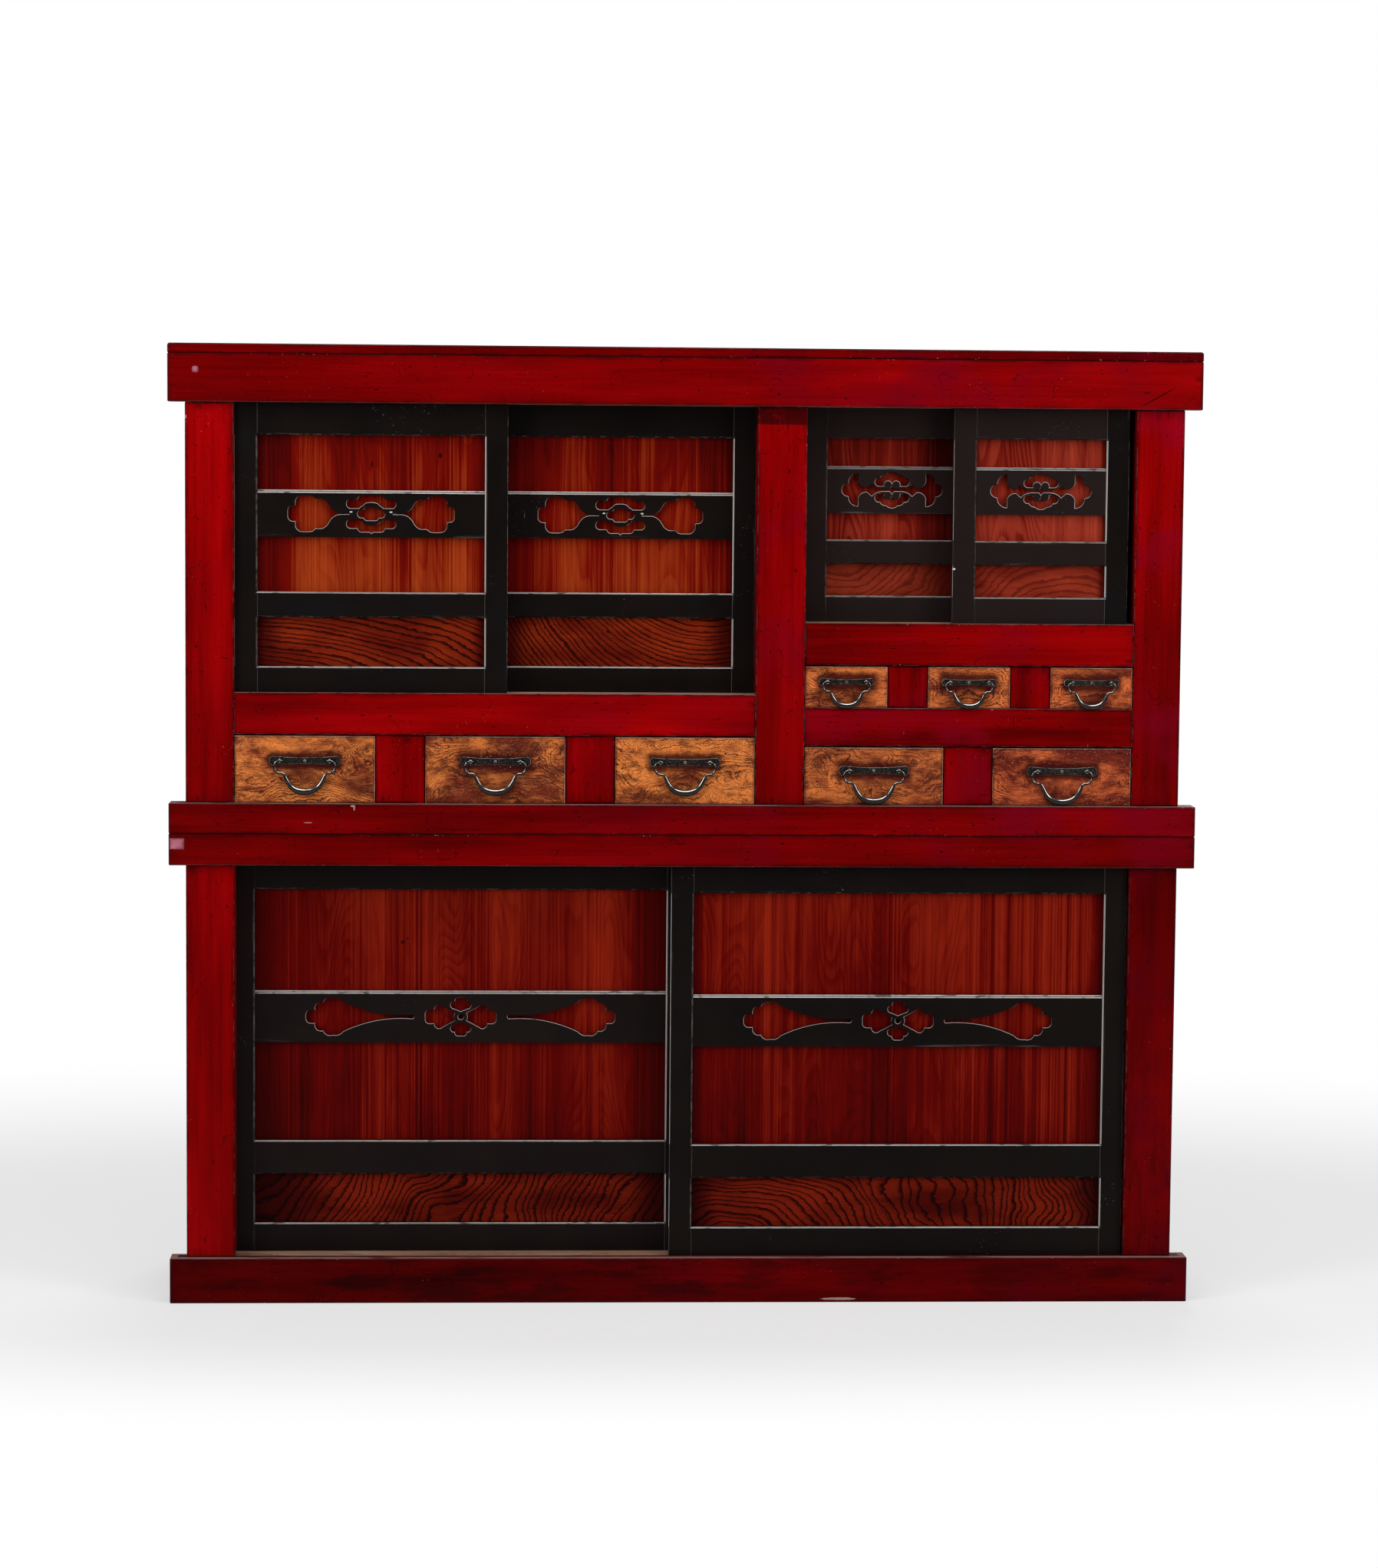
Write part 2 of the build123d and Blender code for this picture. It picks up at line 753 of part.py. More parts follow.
def slab(x, y, width, height, radius):
    """Rounded rectangle centred at a place."""
    return Pos(x, y) * RectangleRounded(width, height, radius)


def taper(start, bend, end):
    """Flat shape between two mirrored arcs that narrow from start to end along X."""
    upper = ThreePointArc(start, bend, end)
    closing = Line(end, (end[0], -end[1]))
    lower = ThreePointArc((end[0], -end[1]), (bend[0], -bend[1]), (start[0], -start[1]))
    opening = Line((start[0], -start[1]), start)
    return make_face([upper, closing, lower, opening])


def gourd_carving():
    """Two lobed gourds that taper to slits beside a ring, with a cloud over and under the ring."""
    gourd = slab(-131.5, 0.0, 26.0, 27.0, 8.5) + slab(-113.5, 0.0, 36.0, 63.0, 12.0)
    gourd += slab(-92.0, 0.0, 24.0, 52.0, 8.0)
    gourd += make_face(Polyline((-86.0, 25.6), (-83.0, 25.0), (-76.8, 20.4), (-70.5, 10.0),
                                (-70.5, -10.0), (-76.8, -20.4), (-83.0, -25.0), (-86.0, -25.6),
                                close=True))
    gourd += taper((-71.5, 11.5), (-64.0, 4.2), (-52.0, 0.8))
    gourd += Pos(-45.5, 0.0) * Rectangle(14.0, 1.6)
    ring_hole = slab(0.0, 0.0, 48.0, 13.5, 6.6) + slab(0.0, 0.0, 27.0, 23.0, 6.5)
    ring = slab(0.0, 0.0, 62.0, 19.6, 9.5) + slab(0.0, 0.0, 44.0, 27.4, 8.0)
    ring += slab(0.0, 0.0, 34.0, 40.0, 13.0)
    cloud = slab(0.0, 17.4, 86.0, 15.6, 7.4) + slab(0.0, 20.5, 47.0, 22.0, 7.0)
    cloud += make_face(Polyline((-3.5, 31.0), (0.0, 34.2), (3.5, 31.0), close=True))
    cloud -= ring
    return mirrored(gourd) + ring_hole + cloud + mirror(cloud, about=Plane.XZ)


def anchor_carving():
    """A slot with an anchor at each end, and a cloud with two curls over and under it."""
    anchor = lobe(-77.5, 0.0, 11.3) + (lobe(-60.0, 12.0, 16.8) + lobe(-60.0, -12.0, 16.8))
    anchor += Pos(-66.0, 0.0) * Rectangle(14.0, 26.0)
    anchor -= Pos(-40.0, 0.0) * Rectangle(40.0, 80.0)
    anchor += taper((-60.5, 16.0), (-55.5, 7.4), (-44.5, 3.6))
    curl = lobe(-7.2, 9.2, 7.4)
    land = Pos(-14.5, 17.5) * Ellipse(23.0, 15.5) - Rectangle(14.4, 80.0) + curl
    slot = make_face(Polyline((-50.0, 0.0), (-50.0, 3.0), (-44.5, 3.2), (-35.6, 10.8),
                              (0.0, 9.0), (0.0, 0.0), close=True))
    cloud = lobe(0.0, 17.0, 14.4) + lobe(-11.5, 16.7, 10.5) + lobe(-23.0, 14.0, 7.2)
    cloud += Pos(-18.5, 10.6) * Rectangle(11.0, 7.6)
    cloud -= curl + Pos(0.0, -2.2) * Rectangle(80.0, 18.0)
    upper = mirrored(slot - land) + (mirrored(cloud) - mirrored(curl))
    return mirrored(anchor) + upper + mirror(upper, about=Plane.XZ)


def fan_carving():
    """Two long lobed fans that taper toward a four-petal flower round a small hole."""
    fan = slab(-262.5, 0.0, 21.5, 23.5, 8.5)
    for side in (1, -1):
        fan += lobe(-247.0, side * 15.0, 10.6) + lobe(-230.5, side * 20.5, 13.2)
        fan += lobe(-221.5, side * 16.0, 17.3)
    fan += Pos(-237.0, 0.0) * Rectangle(40.0, 30.0)
    fan += taper((-220.0, 33.0), (-165.0, 10.5), (-86.0, 3.4)) + lobe(-86.0, 0.0, 3.4)
    side_petal = make_face(Polyline((-4.0, 3.3), (-36.0, 20.4), (-36.0, -20.4), (-4.0, -3.3),
                                    close=True))
    side_petal += lobe(-38.4, 12.8, 8.2) + lobe(-38.4, -12.8, 8.2) + slab(-51.0, 0.0, 23.5, 24.4, 7.5)
    side_petal += Pos(-40.0, 0.0) * Rectangle(12.0, 28.0)
    side_petal -= Circle(12.3)
    end_petal = slab(0.0, 27.0, 20.4, 14.4, 5.5) + mirrored(lobe(11.6, 20.8, 6.5))
    end_petal += make_face(Polyline((0.0, 9.4), (13.8, 15.0), (11.6, 22.0), (-11.6, 22.0),
                                    (-13.8, 15.0), close=True))
    petals = mirrored(side_petal) + end_petal + mirror(end_petal, about=Plane.XZ)
    return mirrored(fan) + petals + Circle(4.9)


# ---------------------------------------------------------------------------- doors
@dataclass(frozen=True)
class Door:
    """One sliding door: its span at rest, its sill and head, track, style and carving."""

    name: str
    x: tuple
    z: tuple
    track: tuple
    style: DoorStyle
    carving: object


def door_width(bay):
    """Width of a door, where two close a bay with one stile behind the other."""
    return (bay[1] - bay[0] + stile_width) / 2


def at_left(bay, shift=0.0):
    """X span of a door that stands at the left end of its bay."""
    start = bay[0] + shift
    return (start, start + door_width(bay))


def at_right(bay, shift=0.0):
    """X span of a door that stands at the right end of its bay."""
    end = bay[1] + shift
    return (end - door_width(bay), end)


def opening_bevel_cutter(x, z, face):
    """Frustum that planes a mitred bevel round one opening of a door frame."""
    width, height = x[1] - x[0], z[1] - z[0]
    mouth = Rectangle(width + 2 * opening_bevel, height + 2 * opening_bevel)
    frustum = extrude(mouth, amount=opening_bevel, taper=45)
    return Pos((x[0] + x[1]) / 2, face, (z[0] + z[1]) / 2) * Rot(-90, 0, 0) * frustum


def bevelled_blank(x, y, z):
    """Board for carving, its front arris planed to a broad bevel along the top."""
    wedge = make_face(Polyline((y[0], z[1]), (y[0], z[1] - carved_bevel_height),
                               (y[0] + carved_bevel_depth, z[1]), close=True))
    wedge = Pos(x[0], 0.0, 0.0) * extrude(Plane.YZ * wedge, amount=x[1] - x[0])
    return block(x, y, z) - wedge


def door_pieces(door):
    """Frame members, carved board and panels of one door."""
    style = door.style
    y = inset(door.track, door_clearance)
    face = y[0]
    opening = inset(door.x, stile_width)
    z_foot = door.z[0] - sill_groove_depth + door_clearance
    z_head = door.z[1] + head_engagement
    z_bottom_rail = (z_foot, door.z[0] + style.bottom_rail)
    z_lower_rail = (z_bottom_rail[1] + style.figured_panel,
                    z_bottom_rail[1] + style.figured_panel + style.lower_rail)
    z_carved = (z_lower_rail[1] + style.lower_opening,
                z_lower_rail[1] + style.lower_opening + style.carved_board)
    z_top_rail = (z_carved[1] + style.upper_opening, z_head)

    carved_y = (face + carved_board_setback, face + carved_board_setback + carved_board_thickness)
    panel_y = (face + panel_setback, face + panel_setback + panel_thickness)
    housed = grown(opening, panel_tongue)
    carved_blank = bevelled_blank(housed, carved_y, z_carved)
    upper_panel = block(housed, panel_y, grown((z_lower_rail[1], z_top_rail[0]), panel_tongue))
    figured_panel = block(housed, panel_y, grown((z_bottom_rail[1], z_lower_rail[0]), panel_tongue))
    boards = [carved_blank, upper_panel, figured_panel]
    bevels = [opening_bevel_cutter(opening, (z_bottom_rail[1], z_lower_rail[0]), face),
              opening_bevel_cutter(opening, (z_lower_rail[1], z_top_rail[0]), face)]

    tenon_y = (face + door_tenon_setback, face + door_tenon_setback + door_tenon_thickness)
    rails = []
    tenons = []
    for z in (z_bottom_rail, z_lower_rail, z_top_rail):
        tongue = block(grown(opening, door_tenon_length), tenon_y, inset(z, door_tenon_shoulder))
        tenons.append(tongue)
        rails.append(minus(eased(opening, y, z, fine_chamfer) + tongue, boards + bevels))
    stiles = [
        minus(eased(span, y, (z_foot, z_head)), boards + tenons + bevels)
        for span in ((door.x[0], opening[0]), (opening[1], door.x[1]))
    ]

    centre_x = (opening[0] + opening[1]) / 2
    centre_z = (z_carved[0] + z_carved[1]) / 2
    cutter = extrude(door.carving(), amount=carved_board_thickness)
    pierced = carved_blank - Pos(centre_x, carved_y[1], centre_z) * Rot(90, 0, 0) * cutter
    return stiles + rails, pierced, [upper_panel, figured_panel]


def bay_doors():
    """The six doors, each where it stands when the cabinet is at rest."""
    z_left = (z_left_sill, z_upper_head)
    z_right = (z_right_sill, z_upper_head)
    z_lower = (z_lower_sill, z_lower_head)
    return [
        Door("upper_left_front_door", at_left(left_bay), z_left,
             y_front_track, left_style, gourd_carving),
        Door("upper_left_rear_door", at_right(left_bay), z_left,
             y_rear_track, left_style, gourd_carving),
        Door("upper_right_rear_door", at_left(right_bay), z_right,
             y_rear_track, right_style, anchor_carving),
        Door("upper_right_front_door", at_right(right_bay, -right_door_ajar), z_right,
             y_front_track, right_style, anchor_carving),
        Door("lower_rear_door", at_left(lower_bay, -lower_rear_door_tuck), z_lower,
             y_rear_track, lower_style, fan_carving),
        Door("lower_front_door", at_right(lower_bay, -lower_door_ajar), z_lower,
             y_front_track, lower_style, fan_carving),
    ]


# ---------------------------------------------------------------------------- drawers and pulls
def pull_place(row, x):
    """Centre of the pull's pin line: across, at the drawer face, and up."""
    z_middle = (row.z[0] + row.z[1]) / 2
    return (x[0] + x[1]) / 2, front + drawer_setback, z_middle + row.rise


def pull_scale(row):
    """Size of a row's pulls against those of the big drawers."""
    return row.plate_length / big_plate_length


def pull_pins(row, x):
    """Eye pins of one pull: a ring in front of the plate and a shank clinched inside."""
    scale = pull_scale(row)
    centre_x, face, z = pull_place(row, x)
    eye_y = face - plate_thickness - eye_standoff
    shank_length = eye_standoff - eye_outer_radius + eye_wall + plate_thickness
    shank_length += drawer_front_thickness + pin_clinch
    pins = []
    for side in (-1, 1):
        pin_x = centre_x + side * pin_spacing / 2 * scale
        ring = Rot(0, 90, 0) * (Cylinder(eye_outer_radius, eye_width)
                                - Cylinder(eye_outer_radius - eye_wall, eye_width))
        shank = Rot(90, 0, 0) * Cylinder(pin_radius, shank_length)
        shank_y = face + drawer_front_thickness + pin_clinch - shank_length / 2
        pins.append((Pos(pin_x, eye_y, z) * ring) + Pos(pin_x, shank_y, z) * shank)
    return pins


def pull_nail(row, x):
    """Nail through the waist of the back plate, with a low domed head."""
    centre_x, face, z = pull_place(row, x)
    reach = 2 * nail_head_radius
    y_plate = face - plate_thickness
    before_plate = block((centre_x - reach, centre_x + reach), (y_plate - reach, y_plate),
                         (z - reach, z + reach))
    head = (Pos(centre_x, y_plate, z) * Sphere(nail_head_radius)) & before_plate
    shank_length = plate_thickness + drawer_front_thickness / 2
    shank = Rot(90, 0, 0) * Cylinder(nail_shank_radius, shank_length)
    return head + Pos(centre_x, y_plate + shank_length / 2, z) * shank


def back_plate(row, x):
    """Iron plate behind the bail: flared ends with clipped corners, drawn in at the waist."""
    scale = pull_scale(row)
    centre_x, face, z = pull_place(row, x)
    half_length = row.plate_length / 2
    half_end = plate_end_height / 2 * scale
    half_waist = plate_waist_height / 2 * scale
    clip = plate_corner_clip * scale
    end_x = half_length - clip
    top = ThreePointArc((-end_x, half_end), (0, half_waist), (end_x, half_end))
    right = Polyline((end_x, half_end), (half_length, half_end - clip),
                     (half_length, clip - half_end), (end_x, -half_end))
    bottom = ThreePointArc((end_x, -half_end), (0, -half_waist), (-end_x, -half_end))
    left = Polyline((-end_x, -half_end), (-half_length, clip - half_end),
                    (-half_length, half_end - clip), (-end_x, half_end))
    plate = extrude(make_face([top, right, bottom, left]), amount=plate_thickness)
    plate = chamfer(plate.faces().sort_by(Axis.Z)[-1].edges(), fine_chamfer)
    plate = Pos(centre_x, face, z) * Rot(90, 0, 0) * plate
    return minus(plate, pull_pins(row, x) + [pull_nail(row, x)])


def bail(row, x):
    """Bail with small outward loops at the pins and a thick, deep grip between them."""
    scale = pull_scale(row)
    centre_x, face, z = pull_place(row, x)
    reach = pin_spacing / 2
    wire_scale = 1.0 if scale == 1.0 else small_bail_wire
    wire = bail_end_radius
    pin_stations = (reach + eye_width / 2, reach, reach - eye_width / 2,
                    reach - eye_width / 2 - bail_end_length)
    half = [((across, up - bail_drop), bail_grip_radius * share) for across, up, share in bail_grip]
    half.append(((bail_shoulder[0], bail_shoulder[1] - bail_drop), bail_shoulder_radius))
    half += [((reach + out, up), wire * share) for out, up, share in bail_ear]
    half += [((across, 0.0), wire) for across in pin_stations]
    stations = [((-px, pz), radius) for (px, pz), radius in reversed(half[1:])] + half
    path = Spline(*[(px * scale, pz * scale) for (px, pz), radius in stations])
    sections = []
    for (px, pz), radius in stations:
        at = path.param_at_point(Vector(px * scale, pz * scale))
        section_plane = Plane(origin=path @ at, z_dir=path % at)
        sections.append(section_plane * Circle(radius * wire_scale))
    body = loft(sections)
    return Pos(centre_x, face - plate_thickness - eye_standoff, z) * Rot(90, 0, 0) * body


def drawer_box(row, x):
    """Front, two sides, back and bottom of one drawer, closed."""
    width = inset(x, drawer_side_gap)
    z = (row.z[0] + drawer_bottom_gap, row.z[1] - drawer_top_gap)
    face = front + drawer_setback
    y_end = face + drawer_length
    z_floor = z[0] + drawer_bottom_thickness
    y_lap = face + drawer_front_thickness - drawer_lap
    side = block((width[0], width[0] + drawer_side_thickness), (y_lap, y_end), (z_floor, z[1]))
    other = block((width[1] - drawer_side_thickness, width[1]), (y_lap, y_end), (z_floor, z[1]))
    bottom = block(width, (y_lap, y_end), (z[0], z_floor))
    back = block(inset(width, drawer_side_thickness), (y_end - drawer_side_thickness, y_end),
                 (z_floor, z[1] - drawer_back_drop))
    panel = eased(width, (face, face + drawer_front_thickness), z)
    cutters = [side, other, bottom, pull_nail(row, x)] + pull_pins(row, x)
    return [minus(panel, cutters), side, other, bottom, back]


# ---------------------------------------------------------------------------- write the nodes
write("top_boards", [
    top_board(y) for y in spread((front, -front), top_boards, board_gap)
])
write("upper_top_rail", [long_rail(
    (z_upper_head, z_rail_top), upper_post_tenons() + upper_head_grooves + [rail_peg()])])
write("upper_front_posts", upper_front_posts())
write("upper_cross_rails", upper_cross_rails())
write("upper_bottom_rail", [long_rail(
    (z_seam, z_upper_floor),
    upper_post_tenons() + all_divider_tenons() + bearer_stubs(upper_bearer_z))])
write("drawer_dividers", drawer_dividers())
write("upper_side_and_rear_frame", side_and_rear_frame(
    (z_seam, z_upper_floor), (z_upper_head, z_rail_top), (z_left_drawer_top, z_left_sill),
    upper_bearer_z, rear_corner_posts + [rear_middle_post]))
write("upper_wall_boards", wall_boards(
    [(z_upper_floor, z_left_drawer_top), (z_left_sill, z_upper_head)], z_upper_floor, z_upper_head))
write("upper_inner_boards", upper_inner_boards())
write("drawer_guides", drawer_guides() + [bay_partition()])
write("lower_top_rail", [long_rail(
    (z_lower_head, z_seam), lower_post_tenons() + lower_head_grooves + [rail_key()])])
write("lower_front_posts", lower_front_posts())
write("base_rail", [long_rail(
    (0.0, base_rail_height),
    lower_post_tenons() + lower_sill_grooves + bearer_stubs(floor_bearer_z))])
write("lower_side_and_rear_frame", side_and_rear_frame(
    (0.0, z_lower_sill), (z_lower_head, z_seam),
    (z_lower_midrail, z_lower_midrail + lower_midrail_height), floor_bearer_z, rear_corner_posts))
write("lower_wall_boards", wall_boards(
    [(z_lower_sill, z_lower_midrail), (z_lower_midrail + lower_midrail_height, z_lower_head)],
    z_lower_sill, z_lower_head))
write("lower_inner_boards", lower_inner_boards())
write("door_tracks", door_tracks())
write("joint_pegs", [rail_peg(), rail_key()])

for door in bay_doors():
    frame, carved, panels = door_pieces(door)
    write(f"{door.name}_frame", frame)
    write(f"{door.name}_carved_board", [carved])
    write(f"{door.name}_panels", panels)

for row in drawer_rows:
    for name, x in zip(row.names, row.openings()):
        write(name, drawer_box(row, x))
        write(f"{name}_pull_plate", [back_plate(row, x), pull_nail(row, x)] + pull_pins(row, x))
        write(f"{name}_bail", [bail(row, x)])
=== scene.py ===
"""Finishes, small hardware, light and stage for a two-part lacquered kitchen chest."""

from __future__ import annotations

import logging
import math
import random
from dataclasses import dataclass
from enum import Enum
from functools import reduce
from typing import Any, Callable, Sequence

import bpy
import numpy as np
from mathutils import Matrix, Vector


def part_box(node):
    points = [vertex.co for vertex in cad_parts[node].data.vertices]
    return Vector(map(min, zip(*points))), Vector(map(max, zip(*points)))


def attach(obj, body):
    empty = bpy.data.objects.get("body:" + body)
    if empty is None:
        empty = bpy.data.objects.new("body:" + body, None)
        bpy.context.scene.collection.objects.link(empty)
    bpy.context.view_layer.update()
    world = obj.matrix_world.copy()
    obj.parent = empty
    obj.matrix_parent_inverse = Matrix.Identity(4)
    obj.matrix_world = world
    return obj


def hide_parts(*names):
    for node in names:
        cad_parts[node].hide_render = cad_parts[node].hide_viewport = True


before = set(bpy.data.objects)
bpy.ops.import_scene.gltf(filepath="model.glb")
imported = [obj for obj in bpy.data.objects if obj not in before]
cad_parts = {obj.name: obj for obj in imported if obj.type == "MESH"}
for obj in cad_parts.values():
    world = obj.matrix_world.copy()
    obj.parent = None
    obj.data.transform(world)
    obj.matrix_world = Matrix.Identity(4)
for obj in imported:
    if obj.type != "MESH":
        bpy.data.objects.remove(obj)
log = logging.getLogger("kitchen_chest")

MM = 0.001
Triple = Colour = tuple[float, float, float]
Pair = tuple[float, float]
Socket = bpy.types.NodeSocket
Material = bpy.types.Material
ZERO = (0.0, 0.0, 0.0)
ONES = (1.0, 1.0, 1.0)
WHITE = (1.0, 1.0, 1.0, 1.0)


# ---- shader tools
def operator(operation: str, swapped: bool = False) -> Callable[[Wire, Any], Wire]:
    """Make a method of wires that adds one Math node of two numbers.

    Args:
        operation: What the node does.
        swapped: Whether the wire is the second of the two numbers.

    Returns:
        The method.
    """
    def act(wire: Wire, other: Any) -> Wire:
        """Add the node."""
        return wire.bench.maths(operation, *((other, wire) if swapped else (wire, other)))

    return act


class Wire:
    """A number in a shader. Arithmetic on it adds Math nodes to its tree."""

    __add__ = __radd__ = operator("ADD")
    __mul__ = __rmul__ = operator("MULTIPLY")
    __sub__, __rsub__ = operator("SUBTRACT"), operator("SUBTRACT", True)
    __truediv__ = operator("DIVIDE")
    least, most = operator("MINIMUM"), operator("MAXIMUM")

    def __init__(self, bench: Bench, socket: Socket) -> None:
        """Wrap the output socket that carries the number."""
        self.bench, self.socket = bench, socket

    def __abs__(self) -> Wire:
        """Size without sign."""
        return self.bench.maths("ABSOLUTE", self)

    def fraction(self) -> Wire:
        """The part after the decimal point."""
        return self.bench.maths("FRACT", self)

    def rise(self, low: float, high: float) -> Wire:
        """Smooth step: 0 at low and 1 at high, or the other way round if low is the larger."""
        ends = (1.0, 0.0) if low > high else (0.0, 1.0)
        sockets = dict(enumerate((self, min(low, high), max(low, high), *ends)))
        made = self.bench.node("ShaderNodeMapRange", {"interpolation_type": "SMOOTHSTEP"}, sockets)
        return Wire(self.bench, made.outputs[0])


class Bench:
    """Makes the nodes of one tree, and reads what the dressed members carry."""

    def __init__(self, tree: bpy.types.NodeTree) -> None:
        """Start on a tree, cleared of its default nodes."""
        self.tree = tree
        tree.nodes.clear()

    def node(self, kind: str, settings: dict[str, Any] | None = None,
             sockets: dict[Any, Any] | None = None) -> bpy.types.Node:
        """Make one node.

        Args:
            kind: The node's type name.
            settings: Its own settings, and "stops" for the stops of a colour ramp.
            sockets: Values or links for its inputs, by name or number.

        Returns:
            The node.
        """
        made = self.tree.nodes.new(kind)
        for name, value in (settings or {}).items():
            if name == "stops":
                ramp = made.color_ramp
                while len(ramp.elements) < len(value):
                    ramp.elements.new(0.5)
                for element, (place, colour) in zip(ramp.elements, value):
                    element.position, element.color = place, (*colour, 1.0)
            else:
                setattr(made, name, value)
        for key, value in (sockets or {}).items():
            value = value.socket if isinstance(value, Wire) else value
            if isinstance(value, Socket):
                self.tree.links.new(value, made.inputs[key])
            else:
                made.inputs[key].default_value = value
        return made

    def maths(self, operation: str, *values: Any) -> Wire:
        """One Math node on numbers or wires."""
        made = self.node("ShaderNodeMath", {"operation": operation}, dict(enumerate(values)))
        return Wire(self, made.outputs[0])

    def vector(self, operation: str, *values: Any) -> Socket:
        """One Vector Math node."""
        made = self.node("ShaderNodeVectorMath", {"operation": operation}, dict(enumerate(values)))
        return made.outputs["Value" if operation == "LENGTH" else "Vector"]

    def parts(self, vector: Any) -> tuple[Wire, Wire, Wire]:
        """The three numbers of a vector."""
        made = self.node("ShaderNodeSeparateXYZ", None, {0: vector})
        return tuple(Wire(self, out) for out in made.outputs)

    def whole(self, x: Any, y: Any, z: Any) -> Socket:
        """A vector made from three numbers."""
        return self.node("ShaderNodeCombineXYZ", None, {0: x, 1: y, 2: z}).outputs[0]

    def mix(self, share: Any, first: Any, second: Any) -> Socket:
        """One colour over another."""
        first, second = ((*c, 1.0) if isinstance(c, tuple) else c for c in (first, second))
        made = self.node("ShaderNodeMix", {"data_type": "RGBA"}, {0: share, 6: first, 7: second})
        return made.outputs[2]

    def ramp(self, share: Any, stops: Sequence[tuple[float, Colour]]) -> Socket:
        """A colour along a row of stops."""
        return self.node("ShaderNodeValToRGB", {"stops": stops}, {0: share}).outputs[0]

    def coordinates(self, name: str) -> Socket:
        """The point or the direction of the surface."""
        return self.node("ShaderNodeTexCoord").outputs[name]

    def facing(self) -> tuple[Wire, Wire, Wire]:
        """The three parts of the surface's own direction."""
        return self.parts(self.coordinates("Normal"))

    def triple(self, name: str) -> Socket:
        """A mesh attribute that holds three numbers."""
        return self.node("ShaderNodeAttribute", {"attribute_name": name}).outputs["Vector"]

    def number(self, name: str) -> Wire:
        """A mesh attribute that holds one number."""
        return Wire(self, self.node("ShaderNodeAttribute", {"attribute_name": name}).outputs["Fac"])

    def noise(self, scale: float, detail: float = 2.0, roughness: float = 0.5,
              distortion: float = 0.0, at: Any = None) -> Wire:
        """Soft noise from 0 to 1, at the place in the wood if no other is given."""
        made = self.node("ShaderNodeTexNoise", None, {
            "Vector": self.triple("wood") if at is None else at, "Scale": scale, "Detail": detail,
            "Roughness": roughness, "Distortion": distortion})
        return Wire(self, made.outputs["Fac"])

    def streaks(self, along: float, across: float, detail: float = 3.0, roughness: float = 0.6,
                distortion: float = 0.0) -> Wire:
        """Noise drawn out along the grain, by its changes per metre along and across it."""
        place = self.vector("MULTIPLY", self.triple("wood"), (along, across, across))
        return self.noise(1.0, detail, roughness, distortion, place)

    def shifted(self, by: Triple) -> Socket:
        """A place elsewhere in the wood, for a noise that matches no other."""
        return self.vector("ADD", self.triple("wood"), by)

    def clamped(self, first: Any, second: Any, steep: float) -> Socket:
        """How far one vector is over another, times a steepness and held between 0 and 1."""
        over = self.vector("MULTIPLY", self.vector("SUBTRACT", first, second), (steep,) * 3)
        return self.vector("MAXIMUM", self.vector("MINIMUM", over, ONES), ZERO)

    def rubbed_arrises(self, width_mm: float) -> Wire:
        """Bright broken lines along the arrises that hands, doors and drawers rub.

        Args:
            width_mm: Usual width of a rubbed line.

        Returns:
            A wire from 0 to 1.
        """
        thinnest, soft_rim, most_worn = 0.12 * MM, 0.4 * MM, 0.88
        width = (self.noise(24.0, 4.0, 0.65) * 1.7 + self.noise(260.0) * 0.7 - 0.35) * (width_mm * MM)
        width = width.most(thinnest)
        gaps = self.noise(46.0, 4.0, 0.7, at=self.shifted((0.7, 0.2, 0.4)))
        worn = ((gaps - 0.5) * 2.2 + 0.5).most(0.03).least(most_worn)
        across = self.vector("SUBTRACT", ONES, self.vector("ABSOLUTE", self.coordinates("Normal")))
        bands: list[Wire] = []
        for side in ("low", "high"):
            band = self.clamped(self.whole(width, width, width), self.triple(f"to_{side}"), 1.0 / soft_rim)
            share = self.clamped(self.triple(f"rub_{side}"), self.whole(worn, worn, worn), 7.0)
            bands += self.parts(self.vector("MULTIPLY", band, self.vector("MULTIPLY", share, across)))
        return reduce(Wire.most, bands)

    def nearest_arris(self) -> Wire:
        """Distance in metres from the nearest arris of the member."""
        a, b, c = self.parts(self.vector("MINIMUM", self.triple("to_low"), self.triple("to_high")))
        return a.least(b).most(a.most(b).least(c))

    def inward(self, start_mm: float, shade_mm: Pair) -> Wire:
        """How far from the shade that the frame throws on both sides of a panel, up to 1."""
        left, right = (self.parts(self.triple(name))[0] for name in ("to_low", "to_high"))
        near = start_mm * MM
        return left.rise(near, shade_mm[0] * MM) * right.rise(near, shade_mm[1] * MM)

    def late_wood(self, depth: Wire, pitch: float) -> Wire:
        """Dark rings at even depths below the bark, uneven in spacing and jagged on one side."""
        ripple = self.streaks(70.0, 150.0) - 0.5
        count = depth / pitch
        uneven = self.noise(1.0, at=self.whole(count * 0.45, 0.0, 0.0)) * 1.9
        ring = (count + uneven + ripple * 0.65).fraction()
        return ring.rise(0.5, 0.88) * ring.rise(1.0, 0.94)

